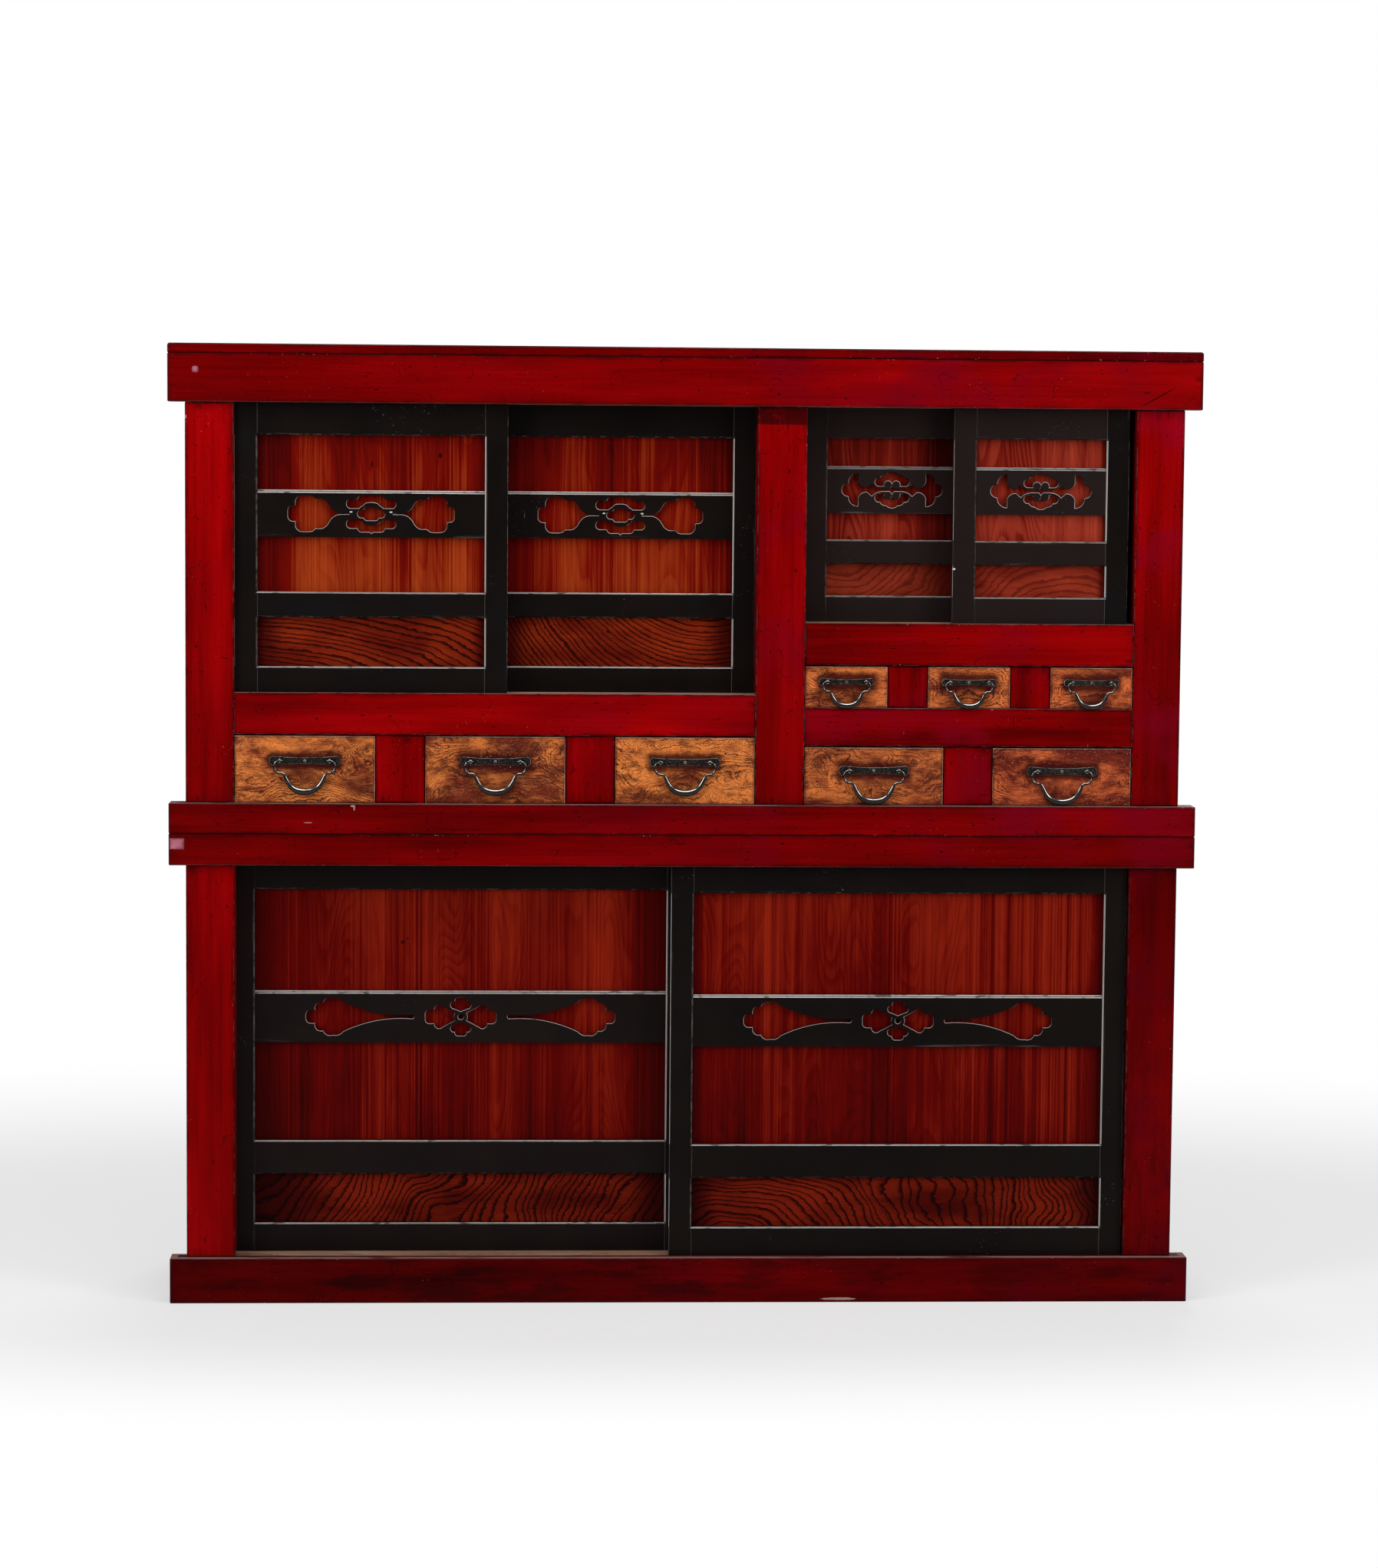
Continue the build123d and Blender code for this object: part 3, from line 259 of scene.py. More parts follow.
    def spots(self, marks: Sequence[Mark], pale: bool) -> Wire:
        """Single dents, chips, checks and knots that stand on front faces.

        Args:
            marks: Every mark of the finish.
            pale: Whether the pale or the dark ones are wanted.

        Returns:
            A wire from 0 to 1, ragged at the rims of the marks.
        """
        place = self.coordinates("Object")
        x, _, z = self.parts(place)
        front = self.facing()[1].rise(-0.35, -0.6)
        ragged = (self.noise(150.0, 4.0, 0.7, at=place) - 0.5) * 1.7
        total = front * 0.0
        for mark in marks:
            if mark.pale is pale:
                across = (x - mark.x) / mark.half_x
                up = (z - mark.z - (x - mark.x) * mark.slope) / mark.half_z
                total = total + (across * across + up * up + ragged).rise(1.15, 0.75)
        return total.least(1.0) * front


# ---- finishes
@dataclass(frozen=True)
class Rub:
    """Where a member's arrises are rubbed bright, from 0 to 1 for each end of each axis."""

    low: Triple = (0.35, 0.35, 0.25)
    high: Triple = (0.35, 0.35, 0.55)


@dataclass(frozen=True)
class Mark:
    """One dent, chip or knot on a front face: its centre, its half size and its slope."""

    x: float
    z: float
    half_x: float
    half_z: float
    pale: bool = True
    slope: float = 0.0


@dataclass(frozen=True)
class Surface:
    """What a finish gives to its shader."""

    colour: Socket
    roughness: Wire
    height: Wire
    metallic: Any = 0.0


def new_material(name: str) -> tuple[Material, Bench]:
    """A material and the bench for its nodes."""
    material = bpy.data.materials.new(name)
    material.use_nodes = True
    return material, Bench(material.node_tree)


@dataclass(frozen=True)
class Finish:
    """A finish of wood or iron. Each kind adds its own colour, gloss and relief."""

    name: str
    roughness: float = 0.4
    gloss: float = 0.25
    relief_mm: float = 0.3

    def surface(self, bench: Bench) -> Surface:
        """Colour, roughness and height of the finish."""
        raise NotImplementedError

    def build(self) -> Material:
        """Make the material."""
        material, bench = new_material(self.name)
        made = self.surface(bench)
        bump = bench.node("ShaderNodeBump", None, {
            "Strength": 1.0, "Distance": self.relief_mm * MM, "Height": made.height})
        shader = bench.node("ShaderNodeBsdfPrincipled", None, {
            "Base Color": made.colour, "Roughness": made.roughness, "Metallic": made.metallic,
            "Specular IOR Level": self.gloss, "Normal": bump.outputs[0]})
        bench.node("ShaderNodeOutputMaterial", None, {0: shader.outputs[0]})
        return material


@dataclass(frozen=True)
class RedLacquer(Finish):
    """Red wiping lacquer: streaks along the grain, sooty edges, rubbed arrises, nicks, scratches."""

    bright: Colour = (0.32, 0.0006, 0.0016)
    middle: Colour = (0.185, 0.0001, 0.0004)
    deep: Colour = (0.075, 0.0001, 0.0004)
    plum: Colour = (0.165, 0.0006, 0.007)
    soot: Colour = (0.010, 0.0012, 0.0016)
    bare: Colour = (0.36, 0.21, 0.19)
    rub_mm: float = 0.9
    seams: Pair = (0.831, 1.664)
    marks: tuple[Mark, ...] = ()

    def surface(self, bench: Bench) -> Surface:
        """Colour, roughness and height of the lacquer."""
        noise, streaks = bench.noise, bench.streaks
        bands, fibres = streaks(1.8, 36.0, 4.0), streaks(3.2, 250.0, 4.0)
        tone = (streaks(1.4, 8.0) * 1.9 + bands * 0.8 + fibres * 0.4
                + streaks(14.0, 1000.0, 2.0) * 0.4 - 1.25)
        colour = bench.ramp(tone, ((0.1, self.deep), (0.5, self.middle), (0.95, self.bright)))
        x, _, z = bench.parts(bench.coordinates("Object"))
        violet = noise(5.0, 4.0, 0.6).rise(0.45, 0.7) * (x.rise(-0.5, 0.7) * 0.8 + 0.1)
        colour = bench.mix(violet, colour, self.plum)
        # The tone scales the colour: partly the member's own tone, partly painted light that makes tops and
        # sides lighter or darker as light falls.
        shade = bench.number("tone") + 1.0
        colour = bench.vector("MULTIPLY", colour, bench.whole(shade, shade, shade))
        colour = bench.mix(self.grime(bench), colour, self.soot)
        rub = bench.rubbed_arrises(self.rub_mm)
        for seam in self.seams:
            rub = rub * abs(z - seam).rise(0.0015, 0.0035)
        edge, patches = bench.nearest_arris(), noise(9.0).rise(0.48, 0.62)
        # Upward-facing tops of the proud ledges near their front arris turn pale: partly dust and wear,
        # partly a painted highlight of light from above.
        ledge = (bench.facing()[2].rise(0.8, 0.95) * z.rise(1.62, 1.6) * edge.rise(0.014, 0.012)
                 * streaks(9.0, 60.0).rise(0.3, 0.5) * abs(z - self.seams[0]).rise(0.004, 0.006) * 0.75)
        chips = noise(230.0).rise(0.68, 0.72) * edge.rise(0.004, 0.001) * patches
        hairs = streaks(250.0, 22.0, 2.0).rise(0.76, 0.785)
        flecks = noise(330.0, 1.0).rise(0.755, 0.79)
        pale = rub.most(chips * 0.8).most((hairs + flecks).least(1.0) * patches * 0.4).most(ledge)
        # The pale mix holds rubbed arrises, chips, hairs and flecks, and the painted highlight on the ledge
        # tops.
        colour = bench.mix(pale.most(bench.spots(self.marks, True)), colour, self.bare)
        rough = bands * 0.12 + rub * 0.2 + noise(38.0) * 0.1 + (self.roughness - 0.1)
        return Surface(colour, rough, fibres * 0.12 + bands * 0.1 - rub * 0.6)

    def grime(self, bench: Bench) -> Wire:
        """Dark lines, specks, scratches and dents, and soot along the edges and at the ends."""
        noise, streaks = bench.noise, bench.streaks
        lines = streaks(1.3, 170.0, 2.0).rise(0.6, 0.74)
        specks = streaks(80.0, 430.0, 1.0).rise(0.7, 0.75) * noise(6.0).rise(0.42, 0.6)
        dents = streaks(90.0, 170.0, 1.0).rise(0.735, 0.76)
        scratches = abs(noise(11.0) - 0.5).rise(0.006, 0.0025) * noise(21.0).rise(0.56, 0.64)
        soiled = noise(19.0, 4.0, 0.65)
        arris = bench.nearest_arris()
        edge, joint = arris.rise(0.008, 0.0) * soiled.rise(0.36, 0.6), arris.rise(0.0022, 0.0006)
        low, high, _ = bench.parts(bench.triple("ends"))
        end = low.least(high)
        strokes = (end.rise(0.022, 0.002) * streaks(26.0, 120.0, 4.0).rise(0.44, 0.66)
                   * soiled.rise(0.38, 0.6))
        close = end.rise(0.005, 0.001) * soiled.rise(0.3, 0.5)
        scuffed = (streaks(7.0, 34.0, 4.0, 0.7).rise(0.46, 0.64)
                   * (bench.number("tone") * -4.0 - 1.3).least(1.0).most(0.0))
        weighed = (specks, dents * 0.9, strokes * 0.7, close * 0.8, joint * 0.8, scuffed * 0.7,
                   lines * 0.22, scratches * 0.55, edge * 0.72, bench.spots(self.marks, False) * 0.9)
        return reduce(Wire.most, weighed)


@dataclass(frozen=True)
class BlackLacquer(Finish):
    """Black lacquer of the doors, rubbed pale on the bevels and arrises of their openings; the bevels that
    look left or up are also a painted highlight.
    """

    ground: Colour = (0.0036, 0.0028, 0.0024)
    brown: Colour = (0.009, 0.0058, 0.0046)
    bloom: Colour = (0.0055, 0.006, 0.0076)
    dusty: Colour = (0.030, 0.018, 0.017)
    bare: Colour = (0.62, 0.57, 0.54)
    rub_mm: float = 0.7
    marks: tuple[Mark, ...] = ()

    def surface(self, bench: Bench) -> Surface:
        """Colour, roughness and height of the lacquer."""
        noise, streaks = bench.noise, bench.streaks
        brushed = streaks(4.0, 150.0)
        hazy = noise(9.0, 3.0, at=bench.shifted((3.7, 1.3, 2.9))).rise(0.5, 0.8)
        clouds = noise(6.0, 3.0, 0.6).rise(0.3, 0.75)
        colour = bench.mix(clouds * 0.7 + brushed * 0.3, self.ground, self.brown)
        colour = bench.mix(hazy * 0.6, colour, self.bloom)
        colour = bench.mix((bench.number("tone") * -1.0).most(0.0), colour, self.dusty)
        worn = bench.nearest_arris().rise(0.006, 0.0) * streaks(5.0, 90.0, 4.0).rise(0.58, 0.72)
        flecks, hairs = noise(300.0, 1.0).rise(0.73, 0.77), streaks(300.0, 30.0, 2.0).rise(0.74, 0.77)
        patches = noise(8.0).rise(0.6, 0.7)
        faint = (worn * 0.1).most((flecks * patches + hairs * patches).least(1.0) * 0.22)
        rub = bench.rubbed_arrises(self.rub_mm)
        # The bevels add wear and a painted highlight on the faces that look left or up.
        pale = faint.most(rub * 0.6).most(self.bevels(bench)).most(bench.spots(self.marks, True))
        colour = bench.mix(pale, colour, self.bare)
        rough = noise(30.0, 3.0) * 0.14 + brushed * 0.08 + pale * 0.3 + (self.roughness - 0.1)
        return Surface(colour, rough, brushed * 0.12 - rub * 0.5)

    def bevels(self, bench: Bench) -> Wire:
        """How pale the slanted faces are: partly bare wear, partly a painted highlight, most on those that
        look left or up, where the light falls.
        """
        x, y, z = bench.facing()
        slanted = abs(y).rise(0.97, 0.9) * y.rise(-0.2, -0.35)
        smudges = bench.streaks(40.0, 160.0, 1.0).rise(0.68, 0.6) * 0.7 + 0.3
        streaky = bench.streaks(4.0, 700.0).rise(0.3, 0.6) * 0.5 + 0.5
        broken = bench.noise(70.0, 4.0, 0.7)
        rails = bench.vector("MINIMUM", bench.triple("over_rail"), bench.triple("under_rail"))
        beside = reduce(Wire.most, bench.parts(rails)).rise(0.0, -0.002) * 0.85 + 0.15
        # Left- and up-facing bevels go palest and down-facing least: a painted highlight of light from the
        # left and above, over real wear.
        left = x.rise(-0.25, -0.55) * (broken.rise(0.2, 0.4) * 0.4 + 0.6) * beside
        right = x.rise(0.25, 0.55) * (broken.rise(0.36, 0.66) * 0.25 + 0.03) * beside
        upward = z.rise(0.25, 0.5) * smudges * streaky * (broken.rise(0.3, 0.5) * 0.4 + 0.6)
        downward = z.rise(-0.25, -0.55) * broken.rise(0.5, 0.62) * 0.12
        deep = bench.parts(bench.triple("to_low"))[1] / bench.number("bevel")
        lines = deep.rise(0.34, 0.12).most(deep.rise(0.66, 0.88)) * 0.7 + 0.45
        worn_and_painted_highlight = left.most(right).most(upward).most(downward) * lines
        kept = (bench.number("tone") * 1.3 + 1.0).least(1.0).most(0.0)
        # Rims round the holes: wear, with the painted highlight where the walls look up or right.
        rims_left = bench.number("pierced") * broken.rise(0.2, 0.45) * (kept * 0.65 + 0.3)
        return (slanted * worn_and_painted_highlight * kept).most(rims_left)


@dataclass(frozen=True)
class StainedBoard(Finish):
    """Thin softwood board under red-brown stain, with straight streaks, flames and knots."""

    roughness: float = 0.42
    gloss: float = 0.03
    light: Colour = (0.36, 0.046, 0.008)
    middle: Colour = (0.165, 0.0032, 0.0009)
    dark: Colour = (0.055, 0.0009, 0.0008)
    knot: Colour = (0.012, 0.001, 0.0008)
    # Broad tone across the panel from left to right: partly the board's own lighter and darker bands,
    # partly painted shade near the frame and in a front door's shadow.
    bands: tuple[Pair, ...] = ((0.0, 0.5), (1.0, 0.5))
    lift: float = 0.0
    flames: float = 0.12
    ribs: float = 1.0
    shade_mm: Pair = (60.0, 25.0)
    marks: tuple[Mark, ...] = ()

    def surface(self, bench: Bench) -> Surface:
        """Colour, roughness and height of the board."""
        streaks = bench.streaks
        left, _, foot = bench.parts(bench.triple("to_low"))
        right, _, head = bench.parts(bench.triple("to_high"))
        sway = (streaks(2.0, 6.0) - 0.5) * 0.05 + (streaks(5.0, 28.0) - 0.5) * 0.04
        # Broad tone across the width: the board's own bands, with painted shade at the ends.
        broad_tone_and_shade = Wire(bench, bench.ramp(left / (left + right) + sway,
                                       [(where, (tone,) * 3) for where, tone in self.bands]))
        lines, fibres = streaks(0.7, 260.0), streaks(8.0, 900.0, 2.0)
        flame = (streaks(1.6, 11.0, 1.0) * 30.0).fraction()
        late = flame.rise(0.25, 0.9) * flame.rise(1.0, 0.9)
        ribbed = streaks(0.6, 14.0, 1.0).rise(0.42, 0.6)
        bars = ((streaks(0.6, 60.0, 4.0) - 0.5) * (ribbed * 0.6 + 0.6)
                + (lines - 0.5) * (ribbed * 1.1 + 0.4))
        tone = (broad_tone_and_shade + bars * self.ribs + (fibres - 0.5) * 0.35 + (streaks(3.5, 12.0) - 0.5) * 0.7
                - late * (1.0 - ribbed * 0.7) * self.flames + (foot / (foot + head) - 0.5) * self.lift)
        tone = tone * (bench.inward(4.0, self.shade_mm) * 0.65 + 0.35) + bench.number("tone") * 0.3
        colour = bench.ramp(tone, ((0.05, self.dark), (0.45, self.middle), (0.95, self.light)))
        specks = bench.noise(240.0, 1.0).rise(0.765, 0.79) * 0.5
        knots = bench.spots(self.marks, False) * 0.85
        colour = bench.mix(specks.most(knots), colour, self.knot)
        return Surface(colour, lines * 0.1 + (self.roughness - 0.05), late * 0.3 + fibres * 0.15)


@dataclass(frozen=True)
class FiguredBoard(Finish):
    """Zelkova with bold bent rings under a red-brown coat."""

    roughness: float = 0.4
    gloss: float = 0.03
    light: Colour = (0.28, 0.025, 0.0045)
    middle: Colour = (0.095, 0.0035, 0.0014)
    dark: Colour = (0.013, 0.0008, 0.0008)
    pitch: float = 0.0085
    sway: float = 0.022
    swirl: Pair = (5.0, 9.0)
    strength: float = 0.95
    shade_mm: Pair = (70.0, 30.0)

    def surface(self, bench: Bench) -> Surface:
        """Colour, roughness and height of the board."""
        streaks = bench.streaks
        wander = (streaks(*self.swirl, 2.0, 0.45, 0.4) - 0.5) * self.sway
        away = Wire(bench, bench.vector("LENGTH", bench.triple("rings")))
        late = bench.late_wood(away + wander, self.pitch)
        fibres = streaks(30.0, 700.0, 2.0)
        tone = (streaks(5.0, 12.0) - 0.5) * 2.4 + (fibres - 0.5) * 0.5 + 0.52
        inward = bench.inward(2.0, self.shade_mm)
        tone = (tone + bench.number("tone")) * inward
        colour = bench.mix(tone.rise(-0.1, 1.0), self.middle, self.light)
        dashes = streaks(110.0, 900.0, 1.0).rise(0.6, 0.68)
        figure = (late * self.strength).most(dashes * (1.0 - late) * 0.2)
        colour = bench.mix(figure, colour, self.dark)
        colour = bench.mix((1.0 - inward) * 0.5, colour, self.dark)
        return Surface(colour, fibres * 0.1 + self.roughness, late * 0.5 - dashes * 0.5 + fibres * 0.1)


@dataclass(frozen=True)
class DrawerFront(Finish):
    """Oiled zelkova of the drawer fronts: gold wood, fine curled rings, red stain by the iron, and a
    painted shadow under the bail.
    """

    light: Colour = (0.86, 0.25, 0.055)
    middle: Colour = (0.20, 0.030, 0.011)
    blotch: Colour = (0.075, 0.009, 0.005)
    dark: Colour = (0.03, 0.006, 0.0035)
    stain: Colour = (0.045, 0.0022, 0.0018)
    bare: Colour = (0.8, 0.62, 0.48)
    red_takes: Colour = (0.22, 0.52, 0.3)

    def surface(self, bench: Bench) -> Surface:
        """Colour, roughness and height of the front."""
        noise, streaks = bench.noise, bench.streaks
        cells = bench.node("ShaderNodeTexVoronoi", {"voronoi_dimensions": "2D"}, {
            "Vector": bench.triple("wood"), "Scale": 10.0, "Randomness": 0.85})
        eye = Wire(bench, cells.outputs["Distance"]) * 0.1
        curls = streaks(34.0, 46.0, 2.0, 0.5)
        depth = (bench.parts(bench.triple("wood"))[1] * 0.6 + streaks(8.0, 12.0, 2.0, 0.5, 0.6) * 0.085
                 + curls * 0.009 + eye.rise(0.026, 0.006) * (eye - 0.026) * 0.9)
        frayed = depth + (noise(320.0) - 0.5) * 0.0030
        fine, close = (bench.late_wood(frayed, pitch) for pitch in (0.0042, 0.0021))
        strong = streaks(9.0, 16.0, 2.0, 0.5).rise(0.38, 0.58)
        pores = noise(520.0, 2.0, 0.6)
        bold = (depth / 0.021 + curls * 0.8).fraction()
        vein = bold.rise(0.93, 0.985) * bold.rise(1.0, 0.99) * noise(60.0).rise(0.4, 0.55)
        clouds = streaks(10.0, 18.0, 4.0, 0.62, 0.4)
        fibres = streaks(60.0, 700.0)
        patchy = noise(1.0, at=bench.whole(depth * 42.0, 0.0, 0.0))
        tone = (clouds * 3.2 + fibres * 1.1 + patchy * 1.6 - 2.45 + bench.number("tone")).rise(0.0, 1.0)
        colour = bench.mix(tone, self.middle, self.light)
        colour = bench.mix(streaks(24.0, 44.0, 4.0, 0.7).rise(0.48, 0.66) * 0.7, colour, self.blotch)
        rows = (fine * (strong * 0.65 + 0.3) * (pores.rise(0.3, 0.5) * 0.4 + 0.6)).most(
            close * pores.rise(0.42, 0.6) * 0.75)
        figure = rows.most(vein * 0.85).most(noise(330.0, 2.0, 0.6).rise(0.55, 0.68) * 0.5)
        colour = bench.mix(figure, colour, self.dark)
        redder = bench.whole(*(1.0 - bench.number("redness") * share for share in self.red_takes))
        colour = bench.vector("MULTIPLY", colour, redder)
        front = bench.facing()[1].rise(-0.4, -0.8)
        # Stain round the plate and along the edges, with a painted shadow under the bail.
        colour = bench.mix(self.stained(bench) * front, colour, self.stain)
        rub = bench.rubbed_arrises(1.3)
        dusty = clouds.rise(0.56, 0.44) * (bench.number("tone") * -2.5 + 0.55).least(1.0).most(0.0)
        flecks = streaks(260.0, 520.0, 1.0).rise(0.69, 0.75) * dusty * front
        colour = bench.mix((rub * 0.75).most(flecks * 0.45), colour, self.bare)
        rough = fibres * 0.14 + figure * 0.12 + (self.roughness - 0.08)
        return Surface(colour, rough, figure * -0.5 + fibres * 0.2)

    def stained(self, bench: Bench) -> Wire:
        """Dark red lacquer wiped round the plate and along the edges, and under the bail a patch that is
        partly hand grime and partly the bail's painted shadow.
        """
        across, _, up = bench.parts(bench.triple("from_pull"))
        wobble = (bench.noise(55.0, 4.0, 0.6) - 0.5) * 0.016
        beside = (abs(across) - bench.number("plate_half")).most(0.0)
        above = (abs(up) - 0.0075).most(0.0)
        halo = (bench.maths("SQRT", beside * beside + above * above) + wobble).rise(0.016, 0.002)
        # Under the bail: partly hand grime, partly the bail's painted shadow.
        hand_marks_and_painted_light = (abs(across).rise(0.05, 0.012) * up.rise(-0.054, -0.036) * up.rise(0.01, -0.008)
                   * bench.noise(45.0, 3.0).rise(0.2, 0.6))
        edge = (bench.nearest_arris() + wobble * 0.4).rise(0.005, 0.0)
        return (halo * 0.93).most(hand_marks_and_painted_light * 0.6).most(edge * 0.7)


@dataclass(frozen=True)
class BareCedar(Finish):
    """Unfinished cedar that has gone brown, dusty along its edges."""

    light: Colour = (0.46, 0.27, 0.17)
    dark: Colour = (0.2, 0.095, 0.055)
    dust: Colour = (0.4, 0.3, 0.25)

    def surface(self, bench: Bench) -> Surface:
        """Colour, roughness and height of the bare wood."""
        _, across, through = bench.parts(bench.triple("wood"))
        wander = bench.streaks(1.8, 6.0, 1.5, 0.4, 0.3) * 0.05
        late = bench.late_wood(across * 0.55 + through + wander, 0.007)
        fibres = bench.streaks(14.0, 600.0)
        tone = bench.streaks(2.0, 9.0, 3.0, 0.5) * 1.1 + fibres * 0.5 - late * 0.35 - 0.2
        colour = bench.mix((tone + bench.number("tone")).rise(0.0, 1.0), self.dark, self.light)
        colour = bench.mix(bench.noise(8.0, 4.0).rise(0.45, 0.8) * 0.5, colour, self.dust)
        return Surface(colour, fibres * 0.1 + self.roughness, fibres * 0.5 + late * 0.4)


@dataclass(frozen=True)
class WroughtIron(Finish):
    """Forged iron under black, hammered, with bright metal rubbed on its high parts, and on the bail a
    painted highlight on its upward faces.
    """

    black: Colour = (0.085, 0.082, 0.078)
    grey: Colour = (0.5, 0.48, 0.45)
    rust: Colour = (0.05, 0.035, 0.025)
    hammer: float = 180.0
    rubbed: float = 0.3
    # How much the upward faces brighten: metal rubbed by hands, and a painted highlight of light from
    # above.
    hand_marks_and_painted_light: float = 0.0

    def surface(self, bench: Bench) -> Surface:
        """Colour, roughness, height and metal of the iron."""
        place = bench.coordinates("Object")
        dimples, grains = (bench.noise(scale, at=place) for scale in (self.hammer, 900.0))
        clouds = bench.noise(90.0, 3.0, 0.6, at=place)
        colour = bench.mix(clouds.rise(0.52, 0.72) * 0.5, self.black, self.rust)
        faces = bench.facing()
        slant = reduce(Wire.most, (abs(part) for part in faces)).rise(0.97, 0.8)
        bright = (grains.rise(0.6, 0.7) * self.rubbed).most(
            slant * bench.number("plate_edge") * clouds.rise(0.3, 0.55) * 0.8)
        # Upward faces turn bright grey: partly hand-rubbed metal, partly a painted highlight of light from
        # above.
        over = faces[2].rise(0.0, 0.5) * (clouds.rise(0.3, 0.5) * 0.5 + 0.5)
        bright = bright.most(over * self.hand_marks_and_painted_light)
        colour = bench.mix(bright, colour, self.grey)
        return Surface(colour, dimples * 0.14 + self.roughness, dimples + grains * 0.12, bright * 0.1 + 0.9)


@dataclass(frozen=True)
class FloorPaper(Finish):
    """White paper sweep. The lens sees it white, and the object's shadow stays on it."""

    white: Colour = (0.9, 0.9, 0.9)
    glow: float = 0.5
    squeeze: Pair = (0.75, -2.4)
    fade: Pair = (1.2, 2.8)

    def build(self) -> Material:
        """Make the material."""
        material, bench = new_material(self.name)
        paper = bench.node("ShaderNodeBsdfDiffuse", None, {"Color": (*self.white, 1.0)})
        light = bench.node("ShaderNodeEmission", None, {"Color": WHITE, "Strength": 1.0})
        seen = Wire(bench, bench.node("ShaderNodeLightPath").outputs["Is Camera Ray"])
        x, y, _ = bench.parts(bench.coordinates("Object"))
        reach = bench.whole(x * self.squeeze[0], y.most(y * self.squeeze[1]), 0.0)
        away = Wire(bench, bench.vector("LENGTH", reach))
        share = seen * (away.rise(*self.fade) * (1.0 - self.glow) + self.glow)
        mixed = bench.node("ShaderNodeMixShader", None, {
            0: share, 1: paper.outputs[0], 2: light.outputs[0]})
        bench.node("ShaderNodeOutputMaterial", None, {0: mixed.outputs[0]})
        return material


# ---- meshes
@dataclass
class Solid:
    """One closed member of a node: its points, its triangles and its box."""

    points: np.ndarray
    faces: list[tuple[int, ...]]

    def __post_init__(self) -> None:
        """Measure the box."""
        self.low, self.high = self.points.min(0), self.points.max(0)
        self.centre = (self.low + self.high) / 2


def triples(rows: bpy.types.bpy_prop_collection, name: str) -> np.ndarray:
    """Three numbers of each element of a mesh."""
    values = np.zeros(len(rows) * 3, np.float32)
    rows.foreach_get(name, values)
    return values.reshape(-1, 3)


def closed_solids(mesh: bpy.types.Mesh) -> list[Solid]:
    """Split loose triangles into closed members, in the order they are stored.

    Args:
        mesh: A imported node's mesh.

    Returns:
        One Solid for each closed shell, its points merged.
    """
    places = triples(mesh.vertices, "co").astype(float)
    rounded = np.round(places, 7).tolist()
    solids: list[Solid] = []
    open_edges: set[tuple[int, int]] = set()
    keys, points, faces = {}, [], []
    for polygon in mesh.polygons:
        corners = []
        for vertex in polygon.vertices:
            key = tuple(rounded[vertex])
            if key not in keys:
                keys[key] = len(points)
                points.append(places[vertex])
            corners.append(keys[key])
        if len(set(corners)) == len(corners):
            faces.append(tuple(corners))
            for edge in zip(corners, corners[1:] + corners[:1]):
                back = (edge[1], edge[0])
                if back in open_edges:
                    open_edges.remove(back)
                else:
                    open_edges.add(edge)
        if faces and not open_edges:
            solids.append(Solid(np.array(points), faces))
            keys, points, faces = {}, [], []
    return solids


def placed(name: str, data: bpy.types.ID) -> bpy.types.Object:
    """Make an object and put it in the scene."""
    made = bpy.data.objects.new(name, data)
    bpy.context.scene.collection.objects.link(made)
    return made


def put_attribute(mesh: bpy.types.Mesh, name: str, values: np.ndarray) -> None:
    """Write a number or a vector for each point of a mesh."""
    kind, field = ("FLOAT_VECTOR", "vector") if values.ndim == 2 else ("FLOAT", "value")
    made = mesh.attributes.new(name, kind, "POINT")
    made.data.foreach_set(field, values.astype(np.float32).ravel())


@dataclass
class Member:
    """How one solid is dressed: its grain's axis, tone, change of tone per metre (painted light: lighter or
    darker along the member as light falls), where it is rubbed, and how much of each end is out of sight in
    its joint."""

    grain: int
    tone: float = 0.0
    rub: Rub = Rub()
    material: int = 0
    painted_light_lean: Triple = ZERO
    tenon: Pair = (0.0, 0.0)


GRAIN_ORDERS = ((0, 2, 1), (1, 0, 2), (2, 0, 1))
CHANCE_TONE, WOOD_SHIFT = 0.1, 4.0
SMOOTH_BELOW = math.radians(32.0)
AXIS_ALIGNED = 0.99995


